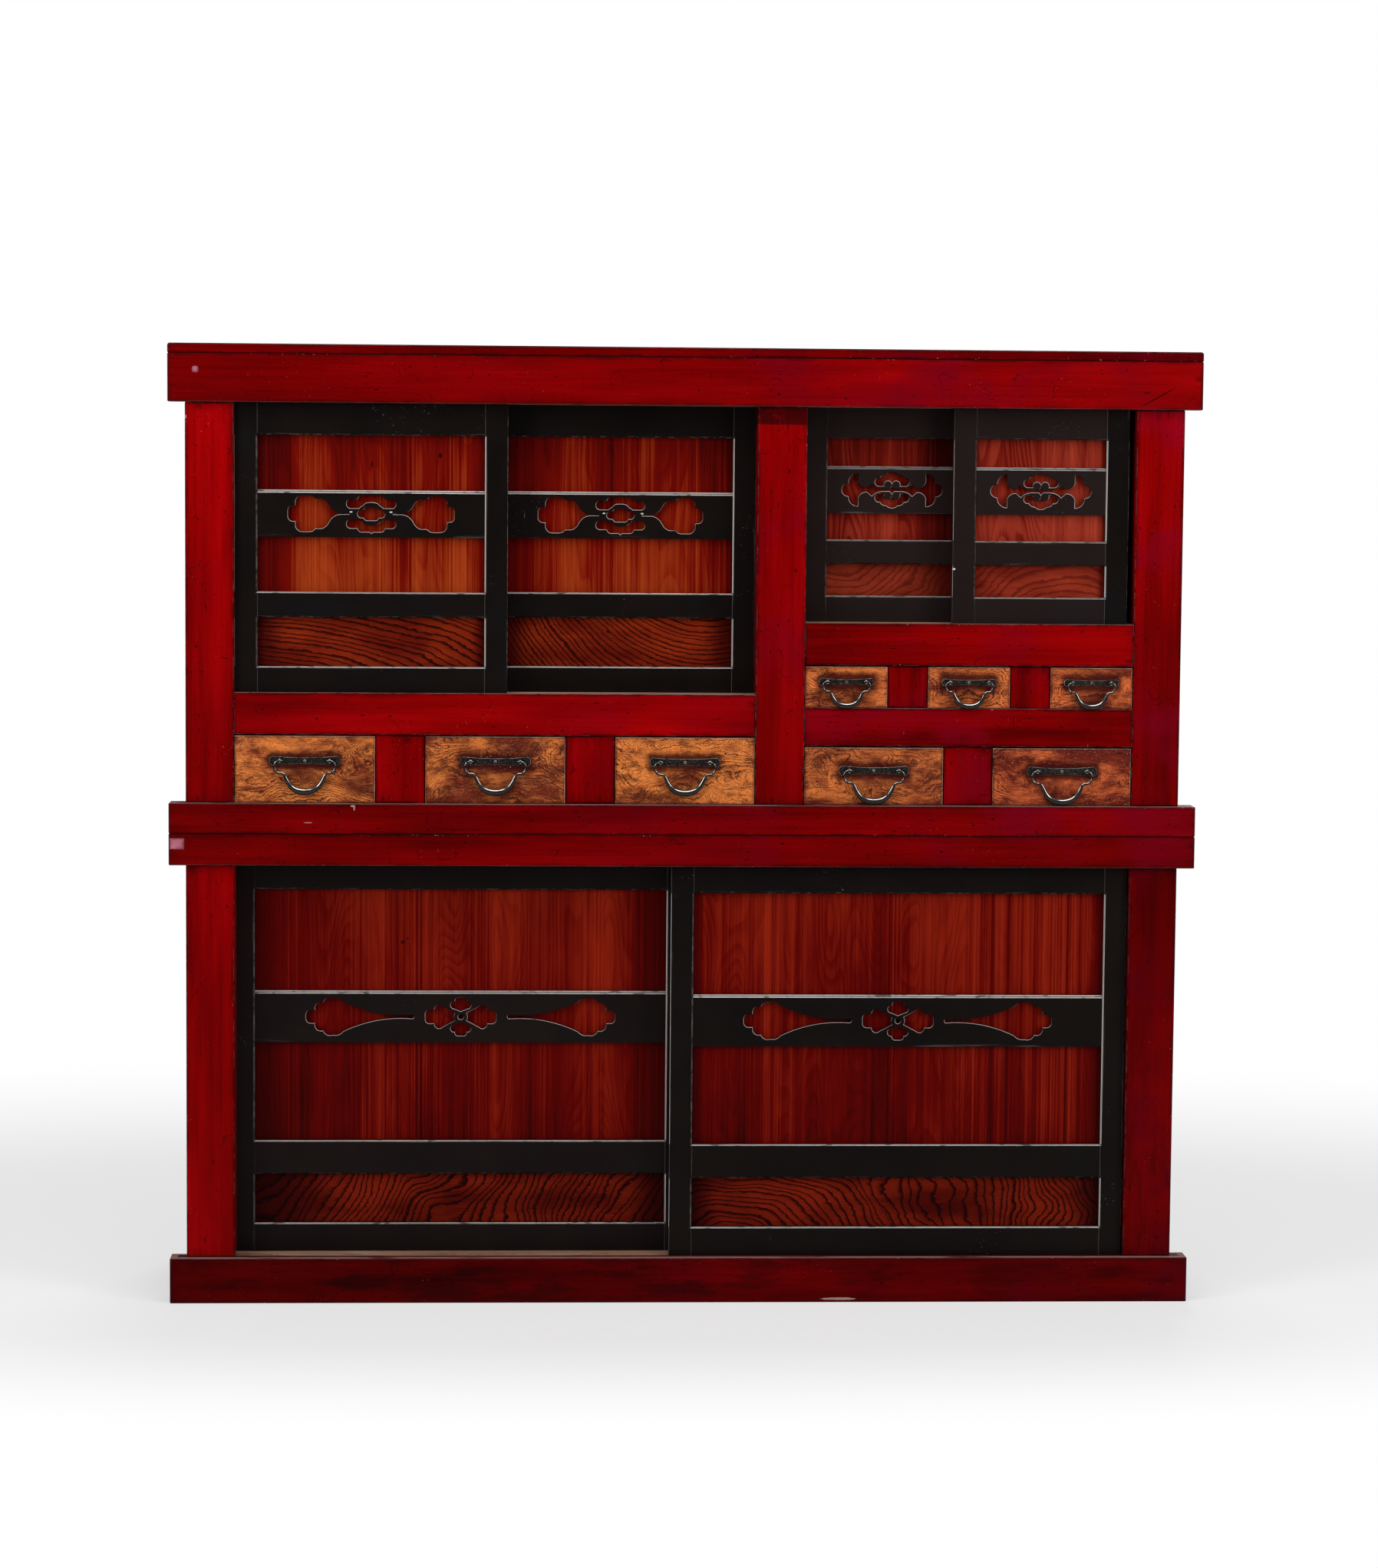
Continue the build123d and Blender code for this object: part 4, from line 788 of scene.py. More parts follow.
class Dresser:
    """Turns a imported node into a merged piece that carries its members' own coordinates."""

    def __init__(self, node: str, body: str, slot: Slot) -> None:
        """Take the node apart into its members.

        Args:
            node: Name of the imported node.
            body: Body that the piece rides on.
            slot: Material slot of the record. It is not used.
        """
        self.node = node
        self.body = body
        self.slot = slot.value
        self.solids = closed_solids(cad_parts[node].data)
        self.members = [self.usual(i, solid) for i, solid in enumerate(self.solids)]
        self.extra: dict[str, np.ndarray | float] = {}

    @property
    def points(self) -> np.ndarray:
        """The points of all members."""
        return np.concatenate([solid.points for solid in self.solids])

    def usual(self, index: int, solid: Solid) -> Member:
        """A member with its grain along its longest side and a small chance tone."""
        dice = random.Random(f"{self.node} {index}")
        return Member(int(np.argmax(solid.high - solid.low)), dice.uniform(-CHANCE_TONE, CHANCE_TONE))

    def wood_places(self, index: int, points: np.ndarray) -> np.ndarray:
        """Grain coordinates of a member's points, shifted so that no two members match."""
        dice = random.Random(f"{self.node} grain {index}")
        shift = np.array([dice.uniform(-WOOD_SHIFT, WOOD_SHIFT) for _ in range(3)])
        return points[:, GRAIN_ORDERS[self.members[index].grain]] + shift

    def mesh(self) -> bpy.types.Mesh:
        """One mesh of all members, flat on its planes and smooth on its rounds."""
        faces, owner, base = [], [], 0
        for member, solid in zip(self.members, self.solids):
            faces += [tuple(v + base for v in face) for face in solid.faces]
            owner += [member.material] * len(solid.faces)
            base += len(solid.points)
        mesh = bpy.data.meshes.new(f"{self.node}_dressed")
        mesh.from_pydata(self.points.tolist(), [], faces)
        mesh.update()
        flat = np.abs(triples(mesh.polygons, "normal")).max(1) > AXIS_ALIGNED
        mesh.polygons.foreach_set("use_smooth", ~flat)
        mesh.set_sharp_from_angle(angle=SMOOTH_BELOW)
        mesh.polygons.foreach_set("material_index", owner)
        self.write(mesh)
        return mesh

    def write(self, mesh: bpy.types.Mesh) -> None:
        """Write the members' coordinates into the mesh as attributes."""
        rows: dict[str, list[np.ndarray]] = {}
        for index, (solid, member) in enumerate(zip(self.solids, self.members)):
            points, count = solid.points, len(solid.points)
            along = points[:, member.grain]
            low, high = along.min() + member.tenon[0], along.max() - member.tenon[1]
            for name, values in {
                    "wood": self.wood_places(index, points),
                    "to_low": points - solid.low, "to_high": solid.high - points,
                    "rub_low": np.tile(member.rub.low, (count, 1)),
                    "rub_high": np.tile(member.rub.high, (count, 1)),
                    "ends": np.stack([along - low, high - along, np.ones(count)], 1),
                    # The tone grows along the member by its lean: a painted light gradient, lighter where
                    # light falls.
                    "tone": member.tone + (points - solid.centre) @ np.array(member.painted_light_lean)}.items():
                rows.setdefault(name, []).append(values)
        for name, parts in rows.items():
            put_attribute(mesh, name, np.concatenate(parts))
        for name, value in self.extra.items():
            value = value if isinstance(value, np.ndarray) else np.full(len(mesh.vertices), value)
            put_attribute(mesh, name, value)

    def finish(self, *materials: Material) -> None:
        """Make the piece, give it its materials and let it stand for the node."""
        mesh = self.mesh()
        for material in materials:
            mesh.materials.append(material)
        piece = placed(f"{self.node}_dressed", mesh)
        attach(piece, self.body)
        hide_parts(self.node)
        log.info("%s: %d members, %d faces", piece.name, len(self.solids), len(mesh.polygons))


RIM_PROUD = (0.0, -0.03 * MM, 0.0)
# Rim paleness: a base of bare wear, plus a painted highlight that grows where the hole's wall looks up or
# right.
RIM_BARE, RIM_HIGHLIGHT_UP, RIM_HIGHLIGHT_RIGHT = 0.34, 0.46, 0.2
FACES_FRONT, STANDS_UPRIGHT = -0.99, 0.1
SHARPEST_MITRE = 0.6


def rims(board: Solid, width: float) -> tuple[Solid, np.ndarray]:
    """Narrow pale rims on the front face of a pierced board, all round its holes: worn, and painted
    brighter as a highlight where a hole's wall looks up or right.

    Args:
        board: The pierced board.
        width: Width of a rim in metres.

    Returns:
        The rims as one open solid, and how bare they are at each of its points.
    """
    low, high = board.low + width, board.high - width
    walls: dict[tuple[int, int], np.ndarray] = {}
    fronts: set[tuple[int, int]] = set()
    for face in board.faces:
        a, b, c = (board.points[v] for v in face)
        normal = np.cross(b - a, c - a)
        normal /= max(np.linalg.norm(normal), 1e-12)
        for start, end in zip(face, face[1:] + face[:1]):
            if normal[1] < FACES_FRONT:
                fronts.add((start, end))
            elif abs(normal[1]) < STANDS_UPRIGHT:
                walls[(end, start)] = normal
    edges = {edge: walls[edge] for edge in fronts if edge in walls and all(
        low[axis] < board.points[v][axis] < high[axis] for v in edge for axis in (0, 2))}
    turns: dict[int, np.ndarray] = {}
    for edge, normal in edges.items():
        for vertex in edge:
            turns[vertex] = turns.get(vertex, np.zeros(3)) + normal
    points, bare, faces = [], [], []
    for edge, normal in edges.items():
        base = len(points)
        for vertex in edge:
            mitre = turns[vertex] / max(float(turns[vertex] @ turns[vertex]) ** 0.5, 1e-9)
            reach = width / max(float(mitre @ normal), SHARPEST_MITRE)
            corner = board.points[vertex] + np.array(RIM_PROUD)
            points += [corner, corner - mitre * reach]
            # Paler where the wall looks up or right: a painted highlight over the worn rim.
            bare += [RIM_BARE + RIM_HIGHLIGHT_UP * mitre[2] + RIM_HIGHLIGHT_RIGHT * mitre[0]] * 2
        faces += [(base, base + 2, base + 3), (base, base + 3, base + 1)]
    return Solid(np.array(points), faces), np.array(bare)


# ---- sub-assemblies
class Slot(Enum):
    """Material slots of the record."""

    RED = "red_lacquer"
    BLACK = "black_lacquer"
    PANEL = "stained_panel"
    ZELKOVA = "zelkova"
    CEDAR = "bare_cedar"
    IRON = "wrought_iron"


@dataclass(frozen=True)
class Dress:
    """How the members of one fixed node are dressed, and how their tone grows to the right, a painted light
    that makes one side lighter than the other.
    """

    tone: float
    rub: Rub = Rub()
    painted_light_lean: Triple = ZERO
    tenon: Pair = (0.0, 0.0)
    # Tone per metre to the right: painted light, lighter or darker on the side the light falls on.
    across: float = 0.0


NO_RUB = Rub(ZERO, ZERO)
LONG = Rub((0.55, 0.9, 0.45), (0.45, 0.4, 0.6))
POST = Rub((0.6, 0.5, 0.2), (0.55, 0.4, 0.2))
CROSS = Rub((0.1, 0.6, 0.35), (0.1, 0.3, 0.75))
TAB = Rub((0.05, 0.1, 0.0), (0.05, 0.1, 0.0))
# Each tone is partly the node's own colour and partly painted light; the lean and the growth to the right
# paint tops and sides lighter or darker as light falls.
DRESSES = {
    "top_boards": Dress(-0.3, Rub((0.55, 0.9, 0.0), (0.45, 0.4, 0.4)), (0.05, 0.0, 0.0)),
    "upper_top_rail": Dress(-0.08, Rub((0.6, 0.9, 0.5), (0.45, 0.4, 0.0)), (0.14, 0.0, 0.0)),
    "upper_front_posts": Dress(0.16, POST, (-0.06, 0.0, 0.8), (0.04, 0.068), 0.06),
    "upper_cross_rails": Dress(0.2, CROSS, ZERO, (0.02, 0.02), 0.1),
    "upper_bottom_rail": Dress(-0.02, Rub((0.5, 0.9, 0.03), (0.5, 0.4, 1.0)), (0.12, 0.0, 0.0)),
    "drawer_dividers": Dress(0.12, TAB, ZERO, (0.0085, 0.0085), 0.1),
    "lower_top_rail": Dress(-0.08, Rub((0.5, 0.9, 0.5), (0.4, 0.3, 0.04)), (0.14, 0.0, 0.0)),
    "lower_front_posts": Dress(-0.13, POST, (0.0, 0.0, 0.2), (0.04, 0.04), -0.37),
    "base_rail": Dress(-0.52, LONG, (0.05, 0.0, 0.0)),
    "upper_side_and_rear_frame": Dress(-0.1), "lower_side_and_rear_frame": Dress(-0.15),
    "upper_wall_boards": Dress(-0.2), "lower_wall_boards": Dress(-0.25),
    "joint_pegs": Dress(0.0, TAB, ZERO, (-0.03, -0.03))}


@dataclass
class Carcass:
    """The fixed frame of both chests: long rails, posts, tabs, walls and boards."""

    body: str = "carcass"
    inner: tuple[str, ...] = ("upper_inner_boards", "lower_inner_boards", "drawer_guides", "door_tracks")
    rear: float = 0.215

    def build(self, paints: dict[str, Material]) -> None:
        """Dress every fixed node. The back boards have a thin wash, and a peg is worn bare.

        Args:
            paints: The materials by their short names.
        """
        for node, dress in DRESSES.items():
            dresser = Dresser(node, self.body, Slot.RED)
            for solid, member in zip(dresser.solids, dresser.members):
                # The tone is partly the member's own and partly painted light, growing across the front so
                # one side is lighter than the other.
                member.tone = member.tone * 0.5 + dress.tone + dress.across * float(solid.centre[0])
                member.rub, member.painted_light_lean, member.tenon = dress.rub, dress.painted_light_lean, dress.tenon
                member.material = 2 if node == "joint_pegs" else int(solid.low[1] > self.rear)
            dresser.finish(paints["red"], paints["wash"], paints["peg"])
        for node in self.inner:
            Dresser(node, self.body, Slot.CEDAR).finish(paints["cedar"])


@dataclass(frozen=True)
class Bend:
    """Bent rings of a figured panel, about a centre measured from the panel's middle in metres."""

    x: float
    z: float
    stretch_x: float = 1.0

    def rings(self, points: np.ndarray, middle: np.ndarray) -> np.ndarray:
        """Where points stand from the centre of the rings."""
        return (points - middle - np.array([self.x, 0.0, self.z])) * (1.0 / self.stretch_x, 0.0, 1.0)


@dataclass
class SlidingDoor:
    """One sliding door: two stiles, three rails, a pierced board and two panels."""

    name: str
    bend: Bend
    wear: float = 0.0
    right_wear: float = 0.0
    arris: float = 0.7 * MM
    opening_bevel: float = 2.2 * MM
    carved_bevel: float = 3.5 * MM
    left_stile: Rub = Rub((0.35, 0.4, 0.0), (0.0, 0.3, 0.0))
    right_stile: Rub = Rub((0.0, 0.4, 0.0), (0.45, 0.3, 0.0))
    rail: Rub = Rub((0.0, 0.4, 0.0), (0.0, 0.3, 0.0))
    board: Rub = Rub((0.0, 0.4, 0.1), (0.0, 0.2, 0.0))

    def build(self, black: Material, board: Material, figured: Material) -> None:
        """Dress the three nodes of the door.

        Args:
            black: Lacquer of the frame and the pierced board.
            board: Finish of the plain upper panel.
            figured: Finish of the figured lower panel.
        """
        self.dress_frame(Dresser(f"{self.name}_frame", self.name, Slot.BLACK), black)
        self.pierce(Dresser(f"{self.name}_carved_board", self.name, Slot.BLACK), black)
        panels = Dresser(f"{self.name}_panels", self.name, Slot.PANEL)
        plain, lower = sorted(panels.solids, key=lambda solid: -solid.centre[2])
        for solid, member in zip(panels.solids, panels.members):
            member.grain, member.material = (2, 0) if solid is plain else (0, 1)
            member.tone, member.rub = member.tone * 0.5, NO_RUB
        panels.extra["rings"] = self.bend.rings(panels.points, lower.centre)
        panels.finish(board, figured)

    def dress_frame(self, frame_parts: Dresser, black: Material) -> None:
        """Dress the stiles and rails, and tell the bevels how near the rails are."""
        solids = frame_parts.solids
        middle = np.mean([solid.centre[0] for solid in solids])
        rails = [solid for solid in solids if np.argmax(solid.high - solid.low) == 0]
        heights = frame_parts.points[:, 2:]
        frame_parts.extra["bevel"] = self.opening_bevel
        frame_parts.extra["over_rail"] = heights - np.array([rail.low[2] for rail in rails])
        frame_parts.extra["under_rail"] = np.array([rail.high[2] for rail in rails]) - heights
        for solid, member in zip(solids, frame_parts.members):
            member.tone, member.rub = self.wear, self.rail
            if member.grain == 2:
                is_right = solid.centre[0] > middle
                member.rub = self.right_stile if is_right else self.left_stile
                member.tone += self.right_wear if is_right else 0.0
        frame_parts.finish(black)

    def pierce(self, carved: Dresser, black: Material) -> None:
        """Lay the pale rims round the holes of the pierced board, worn and partly painted as highlights,
        then dress both.
        """
        carved.members[0].rub, carved.members[0].tone = self.board, self.wear
        worn, bare = rims(carved.solids[0], self.arris)
        unpierced = np.zeros(len(carved.points))
        carved.solids.append(worn)
        carved.members.append(Member(0, rub=NO_RUB))
        carved.extra["pierced"] = np.concatenate([unpierced, bare])
        carved.extra["bevel"] = self.carved_bevel
        carved.extra["over_rail"] = np.full((len(carved.points), 3), -1.0)
        carved.finish(black)


@dataclass
class SmallDrawer:
    """One drawer with its iron pull."""

    name: str
    tone: float = 0.0
    redness: float = 0.0
    front_rub: Rub = Rub((0.35, 0.6, 0.3), (0.8, 0.3, 0.95))
    plate_margin: float = 4.0 * MM

    def build(self, paints: dict[str, Material]) -> None:
        """Dress the drawer, its plate and its bail.

        Args:
            paints: The materials by their short names.
        """
        drawer = Dresser(self.name, self.name, Slot.ZELKOVA)
        plate = Dresser(f"{self.name}_pull_plate", self.name, Slot.IRON)
        widest = max(plate.solids, key=lambda solid: solid.high[0] - solid.low[0])
        nearest = min(solid.low[1] for solid in drawer.solids)
        for solid, member in zip(drawer.solids, drawer.members):
            member.material, member.tone = 1, member.tone + self.tone
            if solid.low[1] < nearest + MM:
                member.material, member.grain, member.rub = 0, 0, self.front_rub
        drawer.extra["from_pull"] = drawer.points - widest.centre
        drawer.extra["redness"] = self.redness
        drawer.extra["plate_half"] = float(widest.high[0] - widest.centre[0]) - self.plate_margin
        drawer.finish(paints["front"], paints["cedar"])
        plate.extra["plate_edge"] = 1.0
        plate.finish(paints["iron"])
        Dresser(f"{self.name}_bail", f"{self.name}_bail", Slot.IRON).finish(paints["grip"])


# ---- nails and pegs
class NailField:
    """Geometry Nodes tree that sets heads on a grid of points, in pairs."""

    inputs = {"Start": "Vector", "Columns": "Int", "Column Step": "Vector", "Pair Step": "Vector",
              "Rows": "Int", "Row Step": "Vector", "Facing": "Rotation", "Head Radius": "Float",
              "Head Height": "Float", "Sides": "Int", "Seed": "Int", "Finish": "Material"}
    shoulder = 0.55
    turns = ((-0.05, -0.05, 0.0), (0.05, 0.05, 6.28))
    sizes = ((0.82, 0.82, 0.8), (1.12, 1.12, 1.0))

    def __init__(self) -> None:
        """Make the tree with its named inputs."""
        self.tree = bpy.data.node_groups.new("nail field", "GeometryNodeTree")
        face = self.tree.interface
        self.identifiers = {
            name: face.new_socket(name, in_out="INPUT", socket_type=f"NodeSocket{kind}").identifier
            for name, kind in self.inputs.items()}
        face.new_socket("Geometry", in_out="OUTPUT", socket_type="NodeSocketGeometry")
        self.wire_up()

    def wire_up(self) -> None:
        """Lines of points inside lines of points, with a head on each."""
        add = Bench(self.tree).node
        given = add("NodeGroupInput").outputs

        def line(count: Any, start: Any, step: Any) -> Socket:
            """A row of points."""
            return add("GeometryNodeMeshLine", {"mode": "OFFSET"}, {
                "Count": count, "Start Location": start, "Offset": step}).outputs[0]

        def repeated(what: Socket, where: Socket, **turns: Any) -> Socket:
            """One thing set on each point of another."""
            made = add("GeometryNodeInstanceOnPoints", None, {"Points": where, "Instance": what, **turns})
            return add("GeometryNodeRealizeInstances", None, {0: made.outputs[0]}).outputs[0]

        def chance(low: Triple, high: Triple) -> Socket:
            """Three chance numbers for each head."""
            return add("FunctionNodeRandomValue", {"data_type": "FLOAT_VECTOR"}, {
                0: low, 1: high, "Seed": given["Seed"]}).outputs["Value"]

        columns = line(given["Columns"], given["Start"], given["Column Step"])
        pairs = repeated(line(2, ZERO, given["Pair Step"]), columns)
        grid = repeated(line(given["Rows"], ZERO, given["Row Step"]), pairs)
        shoulder = add("ShaderNodeMath", {"operation": "MULTIPLY"}, {
            0: given["Head Radius"], 1: self.shoulder})
        head = add("GeometryNodeMeshCone", {"fill_type": "TRIANGLE_FAN"}, {
            "Vertices": given["Sides"], "Side Segments": 1, "Fill Segments": 1,
            "Radius Top": shoulder.outputs[0], "Radius Bottom": given["Head Radius"],
            "Depth": given["Head Height"]})
        spin = add("FunctionNodeEulerToRotation", None, {0: chance(*self.turns)})
        aimed = add("FunctionNodeRotateRotation", {"rotation_space": "LOCAL"}, {
            0: given["Facing"], 1: spin.outputs[0]})
        heads = repeated(head.outputs["Mesh"], grid, Rotation=aimed.outputs[0],
                         Scale=chance(*self.sizes))
        painted = add("GeometryNodeSetMaterial", None, {"Geometry": heads, "Material": given["Finish"]})
        add("NodeGroupOutput", None, {0: painted.outputs[0]})

    def make(self, name: str, body: str, slot: str, values: dict[str, Any]) -> None:
        """Set one field of heads and turn it into a plain mesh.

        Args:
            name: Name of the new piece.
            body: Body that it rides on.
            slot: Material slot of the record. It is not used.
            values: Values of the tree's named inputs.
        """
        carrier = placed(f"{name}_points", bpy.data.meshes.new(f"{name}_points"))
        modifier = carrier.modifiers.new("nails", "NODES")
        modifier.node_group = self.tree
        for key, value in values.items():
            modifier[self.identifiers[key]] = value
        graph = bpy.context.evaluated_depsgraph_get()
        mesh = bpy.data.meshes.new_from_object(carrier.evaluated_get(graph), depsgraph=graph)
        mesh.name = name
        carrier.modifiers.clear()
        bpy.data.objects.remove(carrier)
        put_attribute(mesh, "wood", triples(mesh.vertices, "co"))
        piece = placed(name, mesh)
        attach(piece, body)
        log.info("%s: %d faces", name, len(mesh.polygons))


@dataclass
class Fastenings:
    """Nails of the back boards, pegs of the top boards, and bamboo pegs of the drawers."""

    fields: NailField
    paints: dict[str, Material]
    board_count: int = 8
    nail_inset: float = 0.036
    nail_edge: float = 0.019
    nail_sunk: float = 0.12
    peg_count: int = 6
    peg_margin: float = 0.14
    peg_pair: float = 0.021
    peg_edges: Pair = (0.022, 0.03)
    peg_sunk: float = 0.5
    drawer_peg_front: float = 0.0135
    drawer_peg_ends: float = 0.0185

    def values(self, paint: str, radius_mm: float, height_mm: float, sides: int,
               seed: int) -> dict[str, Any]:
        """Inputs of the tree for one kind of head, standing upright in a single row."""
        return {"Head Radius": radius_mm * MM, "Head Height": height_mm * MM, "Sides": sides, "Seed": seed,
                "Finish": self.paints[paint], "Rows": 1, "Row Step": ZERO, "Facing": ZERO}

    def wall_nails(self) -> None:
        """Nail the back boards to the rails, two nails in each board at each rail."""
        for chest, seed in (("upper", 3), ("lower", 8)):
            nail = self.values("iron", 3.2, 1.4, 7, seed)
            low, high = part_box(f"{chest}_wall_boards")
            pitch = (high.x - low.x) / self.board_count
            sunk = nail["Head Height"] * self.nail_sunk
            nail.update({
                "Start": (low.x + self.nail_inset, high.y - sunk, low.z + self.nail_edge),
                "Columns": self.board_count, "Column Step": (pitch, 0.0, 0.0),
                "Pair Step": (pitch - 2 * self.nail_inset, 0.0, 0.0), "Rows": 3,
                "Row Step": (0.0, 0.0, (high.z - low.z - 2 * self.nail_edge) / 2),
                "Facing": (-math.pi / 2, 0.0, 0.0)})
            self.fields.make(f"{chest}_back_nails", "carcass", Slot.IRON.value, nail)

    def top_pegs(self) -> None:
        """Peg the top boards to the front and the rear rail."""
        peg = self.values("red", 4.5, 0.9, 10, 5)
        low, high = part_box("top_boards")
        step = (high.x - low.x - 2 * self.peg_margin) / (self.peg_count - 1)
        for row, y in (("front", low.y + self.peg_edges[0]), ("rear", high.y - self.peg_edges[1])):
            peg.update({
                "Start": (low.x + self.peg_margin, y, high.z - peg["Head Height"] * self.peg_sunk),
                "Columns": self.peg_count, "Column Step": (step, 0.0, 0.0),
                "Pair Step": (self.peg_pair, 0.0, 0.0)})
            self.fields.make(f"top_board_{row}_pegs", "carcass", Slot.RED.value, peg)

    def drawer_pegs(self, name: str) -> None:
        """Peg both ends of both sides of one drawer."""
        peg = self.values("bamboo", 1.7, 0.5, 8, 2)
        low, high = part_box(name)
        rise = (high.z - low.z) / 4
        for side, x, turn in (("left", low.x, -1.0), ("right", high.x, 1.0)):
            peg.update({
                "Start": (x, low.y + self.drawer_peg_front, low.z + rise), "Columns": 2,
                "Column Step": (0.0, high.y - low.y - self.drawer_peg_ends, 0.0),
                "Pair Step": (0.0, 0.0, rise * 2), "Facing": (0.0, turn * math.pi / 2, 0.0)})
            self.fields.make(f"{name}_{side}_pegs", name, Slot.ZELKOVA.value, peg)


# ---- stage
@dataclass
class Lamp:
    """One soft box: where it hangs, what it is aimed at, its size and its strength."""

    name: str
    place: Triple
    aim: Triple
    size: Pair
    watts: float

    def build(self) -> None:
        """Hang the lamp."""
        data = bpy.data.lights.new(self.name, "AREA")
        data.shape, data.energy = "RECTANGLE", self.watts
        data.size, data.size_y = self.size
        lamp = placed(self.name, data)
        lamp.location = self.place
        toward = Vector(self.aim) - Vector(self.place)
        lamp.rotation_euler = toward.to_track_quat("-Z", "Y").to_euler()


@dataclass
class Studio:
    """White room, soft boxes, floor and camera."""

    camera_place: Triple = (-0.32625, -7.1282, 1.51219)
    yaw: float = 0.048172
    pitch: float = 0.085297
    roll: float = 0.0083327
    focal_pixels: float = 5166.58
    picture_height: float = 2044.0
    floor_half: float = 30.0
    ambient: float = 0.15
    mirror: float = 0.1
    lamps: tuple[Lamp, ...] = (
        Lamp("left box", (-3.0, -2.6, 2.3), (-0.1, 0.0, 1.0), (1.4, 2.2), 62.0),
        Lamp("right box", (3.0, -2.6, 2.1), (0.1, 0.0, 1.0), (1.4, 2.2), 57.0),
        Lamp("overhead", (0.0, -1.6, 3.6), (0.0, 0.0, 0.9), (2.6, 1.2), 36.0),
        Lamp("rear", (0.4, 4.4, 3.0), (0.0, 0.0, 0.9), (2.6, 2.2), 130.0))

    def build(self) -> None:
        """Set up the whole stage."""
        self.world()
        self.floor()
        self.camera()
        for lamp in self.lamps:
            lamp.build()
        bpy.context.scene.view_settings.view_transform = "Standard"

    def world(self) -> None:
        """White to the lens, soft light on the object, a dim room in its gloss."""
        world = bpy.data.worlds.new("white room")
        bpy.context.scene.world = world
        world.use_nodes = True
        bench = Bench(world.node_tree)
        path = bench.node("ShaderNodeLightPath").outputs
        camera, through, glossy = (Wire(bench, path[f"Is {kind} Ray"]) for kind in (
            "Camera", "Transmission", "Glossy"))
        seen = camera.most(through)
        strength = seen + (1.0 - seen) * (glossy * self.mirror + (1.0 - glossy) * self.ambient)
        sky = bench.node("ShaderNodeBackground", None, {"Color": WHITE, "Strength": strength})
        bench.node("ShaderNodeOutputWorld", None, {0: sky.outputs[0]})

    def floor(self) -> None:
        """Plain pale floor."""
        half = self.floor_half
        mesh = bpy.data.meshes.new("studio_floor")
        mesh.from_pydata([(-half, -half, 0.0), (half, -half, 0.0), (half, half, 0.0), (-half, half, 0.0)],
                         [], [(0, 1, 2, 3)])
        mesh.materials.append(FloorPaper("white paper").build())
        floor = placed("studio_floor", mesh)

    def camera(self) -> None:
        """Camera a little left of the middle, at the height of a person's chest."""
        forward = Vector((math.sin(self.yaw) * math.cos(self.pitch),
                          math.cos(self.yaw) * math.cos(self.pitch), -math.sin(self.pitch)))
        right = Vector((math.cos(self.yaw), -math.sin(self.yaw), 0.0))
        up = right.cross(forward)
        level, tilt = math.cos(self.roll), math.sin(self.roll)
        across, rise = right * level + up * tilt, up * level - right * tilt
        data = bpy.data.cameras.new("camera")
        data.sensor_fit, data.sensor_width, data.clip_end = "AUTO", 36.0, 200.0
        data.lens = self.focal_pixels * data.sensor_width / self.picture_height
        camera = placed("camera", data)
        turned = Matrix((across, rise, -forward)).transposed().to_4x4()
        camera.matrix_world = Matrix.Translation(Vector(self.camera_place)) @ turned
        bpy.context.scene.camera = camera


# ---- the cabinet
RED_MARKS = (
    Mark(0.821, 1.602, 0.030, 0.0012, False, 0.56), Mark(0.800, 1.6097, 0.006, 0.0010, False, 0.1),
    Mark(-0.540, 1.6035, 0.004, 0.0014, False, 0.1), Mark(0.28, 0.0065, 0.032, 0.0024),
    Mark(-0.6576, 0.8506, 0.0075, 0.0008), Mark(-0.5797, 0.8800, 0.0045, 0.0020),
    Mark(-0.5775, 0.8765, 0.0014, 0.0045), Mark(-0.8695, 1.5541, 0.0018, 0.0035))
DOOR_MARKS = tuple(Mark(x, 1.3915, 0.0026, 0.0013) for x in (-0.5846, -0.5154, -0.1435, -0.0765)) + (
    Mark(0.4695, 1.2995, 0.0030, 0.0018),)
LEFT_KNOTS = (
    Mark(-0.5485, 1.4746, 0.0016, 0.0055, False), Mark(-0.5444, 1.444, 0.0006, 0.020, False),
    Mark(-0.4299, 1.4902, 0.0030, 0.0042, False))
LOWER_KNOTS = (
    Mark(-0.4944, 0.6315, 0.0035, 0.0030, False), Mark(-0.4856, 0.638, 0.0018, 0.0014, False),
    Mark(-0.0679, 0.4785, 0.0020, 0.0030, False))


